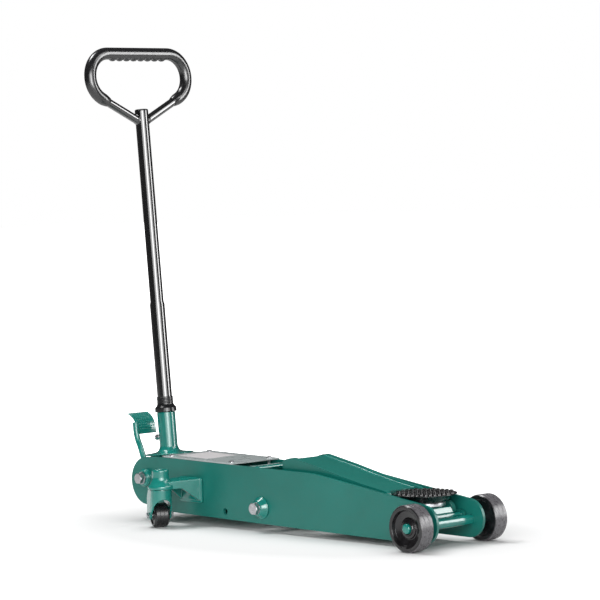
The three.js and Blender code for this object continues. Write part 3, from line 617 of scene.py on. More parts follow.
def cross_pieces():
    low, high = corners("cross_member")
    nosed = [(low.x, low.z), *arc(high.x - 3.5, (low.z + high.z) / 2, 3.5, -90, 90, 16), (low.x, high.z)]
    crisp("cross_member", prism(nosed, low.y, high.y), GREEN_CAST, 0.5)
    low, high = corners("base_plate")
    sheet = rounded([(low.x, low.y), (high.x, low.y), (high.x, high.y), (low.x, high.y)], 6)
    drains = [circle((low.x + high.x) / 2 + side * 60, 0, 5) for side in (-1, 1)]
    crisp("base_plate", prism(sheet, low.z, high.z, "Z", drains), GREEN, 0.6)


def arm_pivot():
    for name, sign in (("left", 1), ("right", -1)):
        low = PLATE_OUT + GAP
        high = corners("arm_pivot_boss_left")[1].y
        profile = [(BOLT_R, low), (22.2, low), (22.2, low + 2.6), (20.2, low + 4.4), (16.4, high - 2.4),
                   (14.6, high - 0.6), (13.6, high), (BOLT_R, high)]
        shell = shift(lathe(profile, "Y"), ARM_PIVOT.x, 0, ARM_PIVOT.z)
        bead = weld(ring_path(ARM_PIVOT.x, low + 1.2, ARM_PIVOT.z, 21.2), 1.7)
        node = f"arm_pivot_boss_{name}"
        crisp(node, shell if sign > 0 else mirrored(shell), GREEN_CAST, 0.7)
        machined(f"arm_pivot_weld_{name}", node, bead if sign > 0 else mirrored(bead), GREEN_CAST, 0,
                 replaced=[])
    low, high = corners("arm_pivot_bolt")
    head = hexagon(26, low.y + 10, low.y + 0.4)
    washer = lathe([(0, low.y + 9.2), (12.4, low.y + 9.2), (12.4, low.y + 10), (0, low.y + 10)], "Y")
    shank = lathe([(0, low.y + 5), (7.8, low.y + 5), (7.8, high.y - 1.4), (6.6, high.y), (0, high.y)], "Y")
    bolt = union(head, washer, shank)
    crisp("arm_pivot_bolt", shift(bolt, ARM_PIVOT.x, 0, ARM_PIVOT.z), ZINC, 0.35)
    low, high = corners("arm_pivot_nut")
    nut = cut(hexagon(26, low.y, high.y), lathe([(0, low.y - 2), (8.2, low.y - 2), (8.2, high.y + 2),
                                                (0, high.y + 2)], "Y"))
    crisp("arm_pivot_nut", shift(nut, ARM_PIVOT.x, 0, ARM_PIVOT.z), ZINC, 0.3)


def handle_pivots():
    for name, sign in (("left", 1), ("right", -1)):
        low = PLATE_OUT + GAP
        high = corners("handle_pivot_boss_left")[1].y
        profile = [(BOLT_R, low), (18.7, low), (18.7, low + 4), (17.9, low + 4.4), (17.9, low + 5.2),
                   (18.7, low + 5.6), (18.7, low + 9), (17.6, low + 10), (17, high - 1.2), (15.8, high),
                   (BOLT_R, high)]
        boss = shift(lathe(profile, "Y"), HANDLE_PIVOT.x, 0, HANDLE_PIVOT.z)
        bolt_low, bolt_high = corners("handle_pivot_bolt_left")
        top = bolt_high.y
        shank = lathe([(0, bolt_low.y), (6.8, bolt_low.y), (7.8, bolt_low.y + 1), (7.8, top - 6),
                       (0, top - 6)], "Y")
        washer = lathe([(0, top - 12.4), (12.7, top - 12.4), (12.7, top - 9.6), (0, top - 9.6)], "Y")
        bolt = union(hexagon(24, top - 9.7, top - 0.2), washer, shank)
        bolt = shift(bolt, HANDLE_PIVOT.x, 0, HANDLE_PIVOT.z)
        if sign < 0:
            boss, bolt = mirrored(boss), mirrored(bolt)
        crisp(f"handle_pivot_boss_{name}", boss, GREEN_CAST, 0.5)
        crisp(f"handle_pivot_bolt_{name}", bolt, ZINC, 0.35)


def cover():
    low, high = corners("cover_plate")
    thick = 2.5
    drop = (high.z - low.z - thick) / (high.x - low.x)
    front, rear = low.z + thick, high.z
    screws = [middle(f"cover_screw_{index}") for index in (1, 2, 3, 4)]
    sheet = rounded([(low.x, low.y), (high.x, low.y), (high.x, high.y), (low.x, high.y)], 4)
    holes = [circle(spot.x, spot.y, 3.4, 32) for spot in screws]
    flat = prism(sheet, -thick, 0, "Z", holes)
    tilt = Matrix.Identity(4)
    tilt[2][0] = -drop
    tilt[2][3] = front + drop * high.x
    crisp("cover_plate", moved(flat, tilt), COVER, 0.5, 4)
    panel = rounded([(low.x + 22, low.y + 24), (low.x + 112, low.y + 24), (low.x + 112, high.y - 24),
                     (low.x + 22, high.y - 24)], 4)
    machined("cover_blank_panel", "cover_plate", moved(prism(panel, 0.02, 0.2, "Z"), tilt), BLANK, 0.08,
             2, replaced=[])
    for index, spot in enumerate(screws):
        node = f"cover_screw_{index + 1}"
        top = corners(node)[1].z
        seat = top - 3
        head = lathe([(0, seat), (5.9, seat), (5.9, seat + 0.9), (5, seat + 2.1), (3, seat + 2.8),
                      (0, seat + 3)], "Z", 64)
        slots = [prism([(-a, -b), (a, -b), (a, b), (-a, b)], seat + 1.4, seat + 5, "Z")
                 for a, b in ((3, 0.6), (0.6, 3))]
        shank = lathe([(0, top - 17), (2, top - 17), (2.9, top - 16), (2.9, seat + 0.2), (0, seat + 0.2)],
                      "Z", 48)
        screw = union(cut(head, *slots), shank)
        crisp(node, shift(screw, spot.x, spot.y), ZINC, 0.15, 2)


# ---- hydraulic unit ------------------------------------------------------------------------------
def hydraulics():
    low, high = corners("pump_body")
    bore = middle("pump_plunger")
    ear = middle("release_spindle")
    block = joined(
        prism(rounded([(low.x + 74, low.z), (high.x, low.z), (high.x, high.z), (low.x + 74, high.z)], 6),
              low.y, high.y),
        prism(rounded([(low.x, low.z), (low.x + 80, low.z), (low.x + 80, low.z + 15.7),
                       (low.x, low.z + 15.7)], 4), -12, 12),
        shift(lathe([(8.6, -3), (15, -3), (15, 6), (8.6, 6)], "X"), low.x + 74, bore.y, bore.z),
        shift(lathe([(5.6, 0), (10, 0), (10, 3), (5.6, 3)], "Z"), ear.x, 0, low.z + 13.2),
    )
    holes = [shift(lathe([(0, -9), (8.9, -9), (8.9, 27), (0, 27)], "X"), low.x + 74, bore.y, bore.z),
             shift(lathe([(0, 0), (5.5, 0), (5.5, 24), (0, 24)], "Z"), ear.x, 0, low.z + 5.7)]
    moulded("pump_body", cut(block, *holes), RAW_CAST, 1.0, 6)
    low, high = corners("hydraulic_cylinder")
    z = (low.z + high.z) / 2
    r = (high.z - low.z) / 2
    profile = [(0, low.x), (r, low.x), (r, high.x - 15), (r - 3, high.x - 13), (r - 3, high.x - 2.4),
               (r - 5.4, high.x), (11.6, high.x), (11.6, high.x - 60), (0, high.x - 60)]
    crisp("hydraulic_cylinder", shift(lathe(profile, "X"), 0, 0, z), GREEN_CAST)
    low, high = corners("cylinder_gland_nut")
    gland = cut(hexagon(44, low.x, high.x, "X"),
                lathe([(0, low.x - 2), (11.4, low.x - 2), (11.4, high.x + 2), (0, high.x + 2)], "X"))
    crisp("cylinder_gland_nut", shift(gland, 0, 0, z), STEEL, 0.4)
    low, high = corners("ram_rod")
    rod = lathe([(0, low.x), (9.8, low.x), (10.9, low.x + 1.2), (10.9, high.x), (0, high.x)], "X")
    crisp("ram_rod", shift(rod, 0, 0, z), STEEL, 0.3)
    low, high = corners("ram_crosshead")
    half = 8.7
    slot = link_outline((CRANK.x, z - 6), half, (CRANK.x, z + 2.4), half, 20)
    body = rounded([(low.x, low.z), (high.x, low.z), (high.x, high.z), (low.x, high.z)], 7)
    crisp("ram_crosshead", prism(body, low.y, high.y, "Y", [slot]), STEEL, 0.8)
    low, high = corners("pump_plunger")
    spot = middle("pump_plunger")
    plunger = lathe([(0, low.x), (12, low.x), (12.9, low.x + 1), (12.9, low.x + 3.4), (11.5, low.x + 4.4),
                     (7.9, low.x + 4.6), (7.9, high.x - 1), (7, high.x), (0, high.x)], "X")
    crisp("pump_plunger", shift(plunger, 0, spot.y, spot.z), STEEL, 0.3)


def pin(node, material=STEEL, axis="Y", chamfer=1.0):
    """A plain turned pin with chamfered ends."""
    low, high = corners(node)
    spot = (low + high) / 2
    order = {"X": 0, "Y": 1, "Z": 2}
    along = order[axis]
    across = order["Z" if axis != "Z" else "X"]
    r = (high[across] - low[across]) / 2
    profile = [(0, low[along]), (r - chamfer, low[along]), (r, low[along] + chamfer),
               (r, high[along] - chamfer), (r - chamfer, high[along]), (0, high[along])]
    offset = [spot.x, spot.y, spot.z]
    offset[along] = 0
    crisp(node, shift(lathe(profile, axis, 64), *offset), material, 0.2, 2)


# ---- lift arm ------------------------------------------------------------------------------------
ARM_TOP = [(-380, 153), (-337, 144.5), (-294, 136), (-238, 123.5), (-183, 112.5), (-128, 103.5)]


def lift_arm():
    low, high = corners("lift_arm")
    outer = high.y
    inner = outer - 10
    pivot = (ARM_PIVOT.x, ARM_PIVOT.z)
    nose = (SADDLE_PIVOT.x, SADDLE_PIVOT.z)
    crank = (CRANK.x, CRANK.z)
    top = [(from_axle(x), z) for x, z in ARM_TOP]
    hump = [(crank[0], crank[1] - 30), (from_axle(-300), 60), (from_axle(-111), 68),
            (from_axle(-111), 100), *reversed(top), (from_axle(-398), 148.7), (from_axle(-410), 144.5),
            (from_axle(-405), 118), (crank[0] + 6, crank[1] + 15)]
    hump = rounded(hump, 9)
    bores = [(pivot, 8.4), (crank, 8.3), (nose, 7.3)]
    cheeks = []
    for start, end in ((inner, outer), (-outer, -inner)):
        cheek = union(prism(link_outline(pivot, 27, nose, 17.5), start, end),
                      prism(hump, start, end), prism(link_outline(pivot, 27, crank, 16), start, end))
        tools = [shift(lathe([(0, start - 5), (r, start - 5), (r, end + 5), (0, end + 5)], "Y"),
                       spot[0], 0, spot[1]) for spot, r in bores]
        cheeks.append(cut(cheek, *tools))
    line = rounded(top, 14, closed=False)
    web = prism([(x, z - 3) for x, z in line] + [(x, z - 9) for x, z in reversed(line)],
                -inner - 0.5, inner + 0.5)
    hub = shift(lathe([(8.4, -inner - 0.5), (14, -inner - 0.5), (14, inner + 0.5), (8.4, inner + 0.5)],
                      "Y"), *[pivot[0], 0, pivot[1]])
    arm = union(joined(*cheeks), joined(web, hub))
    crisp("lift_arm", arm, GREEN, 1.1)
    for name, sign in (("left", 1), ("right", -1)):
        seam = [Vector((x, sign * (inner - 0.6), z - 3.4)) for x, z in line]
        machined(f"arm_seam_weld_{name}", "lift_arm", weld(seam, 1.7, 2.2), GREEN_CAST, 0, replaced=[])
    pin("crank_pin")
    for name in ("left", "right"):
        pin(f"carrier_pin_{name}")


def levelling_links():
    for name, sign in (("left", 1), ("right", -1)):
        node = f"levelling_link_{name}"
        low, high = corners(node)
        rear = (LINK_REAR.x, LINK_REAR.z)
        front = (LINK_FRONT.x, LINK_FRONT.z)
        bar = prism(link_outline(rear, 9, front, 9), low.y, high.y, "Y",
                    [circle(*rear, 5.4, 48), circle(*front, 5.4, 48)])
        crisp(node, bar, GREEN, 0.8)
        pin(f"link_anchor_pin_{name}", chamfer=0.8)


# ---- carrier and saddle ----------------------------------------------------------------------------
def carrier():
    low, high = corners("saddle_carrier")
    front = (LINK_FRONT.x, LINK_FRONT.z)
    side = [(low.x, high.z), (low.x, high.z - 12.7), (low.x + 14, low.z), (front[0] - 15, front[1] - 10),
            *arc(*front, 8.5, -108, 63, 14), (front[0], high.z - 4),
            *arc(front[0] - 4, high.z - 4, 4, 0, 90, 8)]
    block = prism(side, low.y, high.y)
    tools = [shift(lathe([(0, 47), (12.2, 47), (12.2, 90), (0, 90)]), SADDLE.x, 0, 0)]
    for start, end in ((15, 60), (-60, -15)):
        tools.append(shift(lathe([(0, start), (7.3, start), (7.3, end), (0, end)], "Y"),
                           SADDLE_PIVOT.x, 0, SADDLE_PIVOT.z))
    tools.append(shift(lathe([(0, -60), (5.3, -60), (5.3, 60), (0, 60)], "Y"), front[0], 0, front[1]))
    crisp("saddle_carrier", cut(block, *tools), GREEN_CAST, 1.4, 4)
    half = corners("link_front_pin")[1].y
    rod = [(0, -half), (4.2, -half), (4.9, -half + 0.7), (4.9, half - 9.6), (4.3, half - 9.4),
           (4.3, half - 8.4), (4.9, half - 8.2), (4.9, half - 0.7), (4.2, half), (0, half)]
    crisp("link_front_pin", shift(lathe(rod, "Y", 64), front[0], 0, front[1]),
             GREEN_CAST, 0.15, 2)


def saddle():
    low, high = corners("saddle_plate")
    r = (high.y - low.y) / 2
    disc = high.z - 8
    profile = [(0, low.z), (10.6, low.z), (11.8, low.z + 1.2), (11.8, disc), (r - 2, disc), (r, disc + 1.6),
               (r, high.z - 1.6), (r - 1.2, high.z), (0, high.z)]
    plate = shift(lathe(profile, "Z", 128), SADDLE.x)
    crisp("saddle_plate", plate, ZINC, 0.5)
    low, high = corners("saddle_pad")
    r = (high.y - low.y) / 2
    face = high.z - 3.5
    rim = face - 2.1
    disc = lathe([(0, low.z), (39.4, low.z), (r - 3, rim), (r - 0.8, rim + 0.3), (r, rim + 0.9),
                  (r, face - 0.6), (r - 0.6, face), (r - 2.4, face - 0.1), (r - 3.6, face - 0.5),
                  (0, face - 0.5)], "Z", 160)
    pitch = 12
    studs = []
    count = int(r // pitch)
    for column in range(-count, count + 1):
        for row in range(-count, count + 1):
            x, y = column * pitch, row * pitch
            if math.hypot(x, y) > r - 6:
                continue
            stud = lathe([(0, face - 1), (5, face - 1), (4.6, face + 0.2), (3.9, face + 2.4),
                          (3.2, face + 3.2), (2.2, high.z), (0, high.z)], "Z", 24)
            studs.append(shift(stud, x, y))
    pad = shift(joined(disc, *studs), SADDLE.x)
    crisp("saddle_pad", pad, RUBBER, 0.4, 2)


# ---- rear casters ----------------------------------------------------------------------------------
FORK_R = 22
HUB_R = 17.5
WHEEL_HALF = 15.5


def caster_bracket():
    x, y = middle("caster_kingpin_left").xy
    root = PLATE_OUT + GAP
    low, high = corners("caster_bracket_left")
    elevation = [(root, 48), (root, 98), (y, 95), (y, low.z + 32.6), (y - 31, low.z + 32.6)]
    beam = overlap(prism(elevation, x - 40, x + 60, "X"),
                   prism([(x - 18, root), (x + 49, root), (x + 20, y), (x - 18, y)], 0, 140, "Z"))
    # The casting is hollow from below, behind a slanted front wall and under a top wall.
    wall = 7
    inside = [(root + 6, 40), (root + 6, 88), (y - 29, 87), (y - 29, 40)]
    hollow = overlap(prism(inside, x - 40, x + 60, "X"),
                     prism([(x - 18 + wall, root), (x + 48 - wall, root), (x + 19 - wall, y),
                            (x - 18 + wall, y)], 0, 140, "Z"))
    beam = cut(beam, hollow)
    hub = shift(lathe([(0, 79.8), (25.6, 79.8), (26.8, 81), (26.8, 85.4), (25.4, 88), (21.4, 93.4),
                       (18.6, 98.6), (HUB_R, 103.4), (HUB_R, 118), (16, high.z), (0, high.z)]), x, y)
    flange = prism(rounded([(x - 18, 47), (x + 50, 47), (x + 50, 99), (x - 18, 99)], 5), root, root + 5)
    solid = union(beam, hub, flange)
    bores = [lathe([(0, 60), (7.6, 60), (7.6, 130), (0, 130)]),
             lathe([(0, high.z - 10), (12.7, high.z - 10), (12.7, high.z + 5), (0, high.z + 5)])]
    return cut(solid, *[shift(bore, x, y) for bore in bores])


def caster_fork():
    """The hood over the wheel, in its own axes: X forward from the swivel, Y along the wheel axle."""
    low, high = corners("caster_fork_left")
    top = high.z
    trail = 16
    centre = middle("caster_wheel_left").z
    wall = [(-FORK_R, top), (-FORK_R - 1.6, low.z), (FORK_R + 1.6, low.z), (FORK_R, top)]
    arch = WHEEL_HALF + 2.6
    opening = [(-arch, 0), (arch, 0), *arc(0, 41, arch, 0, 180, 24)]
    side = [(FORK_R, top), (-FORK_R, top), (-46, 38), (-46, 27), (-38, 16),
            *arc(-trail, centre, 9, -90, 0, 20), (FORK_R, 58)]
    footprint = link_outline((0, 0), FORK_R, (-trail - 6, 0), FORK_R + 2.6, 36)
    hood = overlap(prism(wall, -60, 60, "X"), prism(side, -40, 40), prism(footprint, 0, 100, "Z"))
    collar = lathe([(0, top - 8), (FORK_R, top - 8), (FORK_R, top - 1), (FORK_R - 1, top), (0, top)])
    tools = [prism(opening, -60, 60, "X"), lathe([(0, 40), (7.3, 40), (7.3, 90), (0, 90)]),
             shift(lathe([(0, -40), (4.3, -40), (4.3, 40), (0, 40)], "Y"), -trail, 0, centre)]
    return cut(union(hood, collar), *tools)


def casters():
    bracket = caster_bracket()
    fork = caster_fork()
    low, high = corners("caster_wheel_left")
    r = middle("caster_wheel_left").z
    half = WHEEL_HALF
    wheel = lathe([
        (4.6, -half), (9.4, -half), (10.2, -half + 2.2), (17.6, -half + 2.4), (18.8, -half + 0.3),
        (r - 3.4, -half), (r, -half + 3.6), (r, -4.6), (r - 0.7, -4.2), (r - 0.7, 4.2), (r, 4.6),
        (r, half - 3.6), (r - 3.4, half), (18.8, half - 0.3), (17.6, half - 2.4), (10.2, half - 2.2),
        (9.4, half), (4.6, half),
    ], "Y", 128)
    end = 28
    nuts = [hexagon(13, sign * 24, sign * end) for sign in (-1, 1)]
    axle = union(lathe([(0, -26), (3.9, -26), (3.9, 26), (0, 26)], "Y", 48), *nuts)
    pin_head = union(lathe([(0, 60), (6, 60), (6.9, 61), (6.9, 112), (0, 112)], "Z", 64),
                     hexagon(22, 110.4, 117, "Z"))
    for name, sign in (("left", 1), ("right", -1)):
        swivel = middle(f"caster_kingpin_{name}")
        centre = middle(f"caster_wheel_{name}")
        yaw = math.atan2(swivel.y - centre.y, swivel.x - centre.x)
        turn = Matrix.Translation((swivel.x, swivel.y, 0)) @ Matrix.Rotation(yaw, 4, "Z")
        trail = math.hypot(swivel.x - centre.x, swivel.y - centre.y)
        at_axle = turn @ Matrix.Translation((-trail, 0, centre.z))
        own = bracket if sign > 0 else mirrored(bracket)
        moulded(f"caster_bracket_{name}", own, GREEN_CAST, 0.7, 14)
        moulded(f"caster_fork_{name}", moved(fork, turn), GREEN_CAST, 0.7, 6)
        crisp(f"caster_kingpin_{name}", moved(pin_head, turn), ZINC, 0.3)
        crisp(f"caster_axle_{name}", moved(axle, at_axle), ZINC, 0.25, 2)
        crisp(f"caster_wheel_{name}", moved(wheel, at_axle), NYLON, 0.4)


# ---- handle ----------------------------------------------------------------------------------------
TILT = Matrix.Translation((HANDLE_PIVOT.x, 0, HANDLE_PIVOT.z)) @ Matrix.Rotation(-LEAN, 4, "Y")
SOCKET_R = 19.3
SOCKET_TOP = 133
SCREW_TURN = Matrix.Rotation(math.radians(45), 4, "Z")
SCREW_HEIGHT = 81
SHAFT_R = 15.8
SHAFT_UPPER_R = 14.3
SHAFT_STEP = 362
SHAFT_TOP = 772


def yoke():
    below = prism([(-60, -60), (60, -60), (60, 44), (-60, 44)], -60, 60)
    ears = [overlap(prism(link_outline((0, 0), 21, (0, 40), 13), start, end), below)
            for start, end in ((30, 42), (-42, -30))]
    lobe = prism(link_outline((0, 0), 20, (0, -30), 11), 30, 42)
    socket = lathe([(0, 43.3), (49.6, 43.3), (50.6, 44), (50.6, 45.8), (50, 46.4), (38, 47.6), (28, 49.2),
                    (24, 51.2), (21.2, 54.6), (SOCKET_R, 60), (SOCKET_R, SOCKET_TOP - 0.8),
                    (SOCKET_R - 0.8, SOCKET_TOP), (0, SOCKET_TOP)])
    solid = union(socket, *ears, lobe)
    tap = lathe([(0, -30), (4.4, -30), (4.4, 0), (0, 0)], "X")
    tools = [lathe([(0, 20), (16.2, 20), (16.2, 140), (0, 140)]),
             lathe([(0, -60), (8.6, -60), (8.6, 60), (0, 60)], "Y"),
             shift(lathe([(0, 20), (4.4, 20), (4.4, 60), (0, 60)], "Y"), 0, 0, -30),
             moved(shift(tap, 0, 0, SCREW_HEIGHT), SCREW_TURN)]
    moulded("handle_yoke", moved(cut(solid, *tools), TILT), GREEN_CAST, 0.8, 5)
    screw = union(lathe([(0, -28.8), (3, -28.8), (3.9, -28), (3.9, -16.2), (0, -16.2)], "X", 48),
                  hexagon(14, -20, -25.8, "X"))
    screw = moved(shift(screw, 0, 0, SCREW_HEIGHT), TILT @ SCREW_TURN)
    crisp("socket_screw", screw, ZINC, 0.25, 2)
    rod = lathe([(0, 8), (3.2, 8), (3.9, 8.7), (3.9, 41.3), (3.2, 42), (0, 42)], "Y", 48)
    crisp("roller_pin", moved(shift(rod, 0, 0, -30), TILT), STEEL, 0.2, 2)
    roller = lathe([(4.4, 8.6), (8.2, 8.6), (8.9, 9.3), (8.9, 27.3), (8.2, 28), (4.4, 28)], "Y", 72)
    crisp("pump_roller", moved(shift(roller, 0, 0, -30), TILT), STEEL, 0.2, 2)


def pedal():
    low, high = corners("foot_pedal")
    y = low.y + 6.3
    x = HANDLE_PIVOT.x
    path = smooth_path([
        (x - 12, y, 92), (x - 18, y, 106), (x - 29, y, 129), (x - 37.5, y, 149.5), (x - 45, y, 164),
        (x - 49.5, y, 179), (x - 51, y, 192), (x - 51.5, y, 201.5),
    ])
    bar = tube(path, 6.2, 40)
    hub = shift(lathe([(8.4, -6.2), (15.6, -6.2), (16.9, -5), (16.9, 5), (15.6, 6.2), (8.4, 6.2)], "Y"),
                x, y, HANDLE_PIVOT.z)
    bore = shift(lathe([(0, -12), (8.4, -12), (8.4, 12), (0, 12)], "Y"), x, y, HANDLE_PIVOT.z)
    stem = cut(union(bar, hub), bore)
    moulded("foot_pedal", stem, GREEN_CAST, 0.7, 4)
    # The tread is a quarter-round sheet with rows of raised grip dots.
    bend_x, bend_z, bend_r = x - 86, 182.5, 38
    end = 77.4
    sweep = arc(bend_x, bend_z, bend_r, 0, end, 28)
    back = arc(bend_x, bend_z, bend_r - 3.6, end, 0, 28)
    foot = 175.7
    profile = [(bend_x + bend_r, foot), *sweep, *back, (bend_x + bend_r - 3.6, foot)]
    sheet = prism(profile, y + 2, high.y - 0.3)
    dots = []
    for row in range(9):
        angle = math.radians(7 + row * 7.8)
        for column in range(9):
            across = y + 6 + column * 5.2
            if across > high.y - 3:
                continue
            out = Vector((math.cos(angle), 0, math.sin(angle)))
            spot = Vector((bend_x, across, bend_z)) + out * (bend_r - 0.3)
            turn = out.to_track_quat("Z", "Y").to_matrix().to_4x4()
            dome = lathe([(0, 0), (1.7, 0), (1.5, 0.9), (0.8, 1.4), (0, 1.5)], "Z", 16)
            dots.append(moved(dome, Matrix.Translation(spot) @ turn))
    machined("foot_pedal_tread", "foot_pedal", sheet, GREEN_CAST, 0.9, 3, replaced=[])
    machined("foot_pedal_dots", "foot_pedal", joined(*dots), GREEN_CAST, 0, replaced=[])


def shaft():
    wall = 2.5
    tube_shell = lathe([
        (SHAFT_R - wall, 24), (SHAFT_R - 0.1, 24), (SHAFT_R - 0.1, SHAFT_STEP - 1),
        (SHAFT_UPPER_R - 0.1, SHAFT_STEP + 5), (SHAFT_UPPER_R - 0.1, SHAFT_TOP),
        (SHAFT_UPPER_R - wall, SHAFT_TOP), (SHAFT_UPPER_R - wall, SHAFT_STEP),
        (SHAFT_R - wall, SHAFT_STEP - 6),
    ], "Z", 96)
    crisp("handle_shaft", moved(tube_shell, TILT), BLACK, 0.4)
    plug = SHAFT_UPPER_R - wall - GAP
    cap = lathe([(0, SHAFT_TOP - 14), (plug, SHAFT_TOP - 14), (plug, SHAFT_TOP + 0.2),
                 (SHAFT_UPPER_R - 0.1, SHAFT_TOP + 0.2), (SHAFT_UPPER_R - 0.1, SHAFT_TOP + 1.8),
                 (SHAFT_UPPER_R - 2.6, SHAFT_TOP + 3.4), (0, SHAFT_TOP + 3.5)])
    crisp("shaft_end_cap", moved(cap, TILT), TRIM, 0.5)
    inner = SHAFT_R + GAP
    base = SOCKET_TOP + 0.3
    ribs = []
    for step in range(5):
        foot = base + 16.6 + step * 3.1
        ribs += [(17.4, foot), (17.4, foot + 1.9), (16.8, foot + 2.3), (16.8, foot + 2.8)]
    collar = lathe([(inner, base), (22.2, base), (22.9, base + 0.8), (22.9, base + 8.2),
                    (22, base + 9.8), (19, base + 13), (17.6, base + 15.6), *ribs,
                    (16.8, base + 32.4), (inner, base + 32.4)])
    crisp("shaft_collar", moved(collar, TILT), TRIM, 0.5)
    plug = SHAFT_R - wall - GAP
    rod = lathe([(0, -6), (2.6, -5.4), (4.4, -4.1), (5.6, -2.1), (6, 0), (5.6, 2.1), (4.4, 4), (4, 5),
                 (4, 26), (plug, 26), (plug, 40), (0, 40)], "Z", 64)
    crisp("release_rod", moved(rod, TILT), STEEL, 0.2, 2)
    low, high = corners("release_spindle")
    top = high.z
    spindle = lathe([(0, low.z), (4.9, low.z), (4.9, top - 13.6), (8.9, top - 9.6), (8.9, top - 0.4),
                     (6.5, top), (5.9, top - 1.2), (3.7, top - 3.6), (0, top - 4.7)], "Z", 64)
    crisp("release_spindle", shift(spindle, HANDLE_PIVOT.x), STEEL, 0.15, 2)


GRIP_TOP = 893.4
GRIP_HALF = 131
GRIP_BEND = 50
FRAME_R = 8.8
LEG_ANGLE = 27
LEG_FOOT = 745.3


def handle_loop(leg_start):
    """The centre line of the D in the handle's own plane, as (y, height) points."""
    tan = math.tan(math.radians(LEG_ANGLE))
    turn = 90 - LEG_ANGLE
    inset = GRIP_HALF - GRIP_BEND
    corner = LEG_FOOT + GRIP_HALF * tan + GRIP_BEND * math.tan(math.radians(turn / 2))
    foot = (leg_start * math.cos(math.radians(LEG_ANGLE)),
            LEG_FOOT + leg_start * math.sin(math.radians(LEG_ANGLE)))
    lower = arc(inset, corner, GRIP_BEND, -turn, 0, 16)
    upper = arc(inset, GRIP_TOP - GRIP_BEND, GRIP_BEND, 0, 90, 20)
    half = []
    for start, end in ((foot, lower[0]), (lower[-1], upper[0])):
        steps = 6
        half += [(start[0] + (end[0] - start[0]) * k / steps, start[1] + (end[1] - start[1]) * k / steps)
                 for k in range(steps)]
        half += lower if end == lower[0] else upper
    bar = [(half[-1][0] * (1 - 2 * k / 40), half[-1][1]) for k in range(1, 40)]
    loop = half + bar + [(-a, b) for a, b in reversed(half)]
    path = [Vector((0, a, b)) for a, b in loop]
    return [p for p, q in zip(path, path[1:]) if (p - q).length > 0.5] + [path[-1]]


def grip():
    bar = tube(handle_loop(9), FRAME_R, 36)
    clear = lathe([(0, 680), (SHAFT_UPPER_R + 0.2, 680), (SHAFT_UPPER_R + 0.2, 820), (0, 820)])
    bar = cut(bar, clear)
    crisp("handle_frame", moved(bar, TILT), BLACK, 0)
    for name, sign in (("left", 1), ("right", -1)):
        foot = LEG_FOOT + SHAFT_UPPER_R * math.tan(math.radians(LEG_ANGLE)) + 1
        ring = ring_path(sign * (SHAFT_UPPER_R + 0.6), 0, foot, FRAME_R + 0.4, 90, "X")
        bead = weld([Vector((p.y, p.x, p.z)) for p in ring], 1.7, 1.8)
        machined(f"grip_weld_{name}", "handle_frame", moved(bead, TILT), BLACK, 0, replaced=[])
    swell = 12.7

    def radius(t):
        taper = min(t, 1 - t) / 0.045
        return swell if taper > 1 else swell - 2.9 * (1 - taper) ** 1.6
    bore = FRAME_R + 0.3
    sleeve = tube(handle_loop(99), radius, 48, bore)
    clear = shift(lathe([(0, -95), (bore, -95), (bore, 95), (0, 95)], "Y"), 0, 0, GRIP_TOP)
    bumps = []
    for finger in range(8):
        y = (finger - 3.5) * 19.2
        bump = lathe([(0, -7.4), (3.4, -6.9), (6.2, -5.4), (8.1, -3), (8.8, 0), (8.1, 3), (6.2, 5.4),
                      (3.4, 6.9), (0, 7.4)], "Z", 40)
        bumps.append(cut(shift(bump, 0, y, GRIP_TOP - 9), clear))
    moulded("hand_grip", moved(joined(sleeve, *bumps), TILT), GRIP, 0.8, 5)


# ---- build -----------------------------------------------------------------------------------------
side_plates()
front_end()
cross_pieces()
arm_pivot()
handle_pivots()
cover()
hydraulics()
lift_arm()
levelling_links()
carrier()
saddle()
casters()
yoke()
pedal()
shaft()
grip()


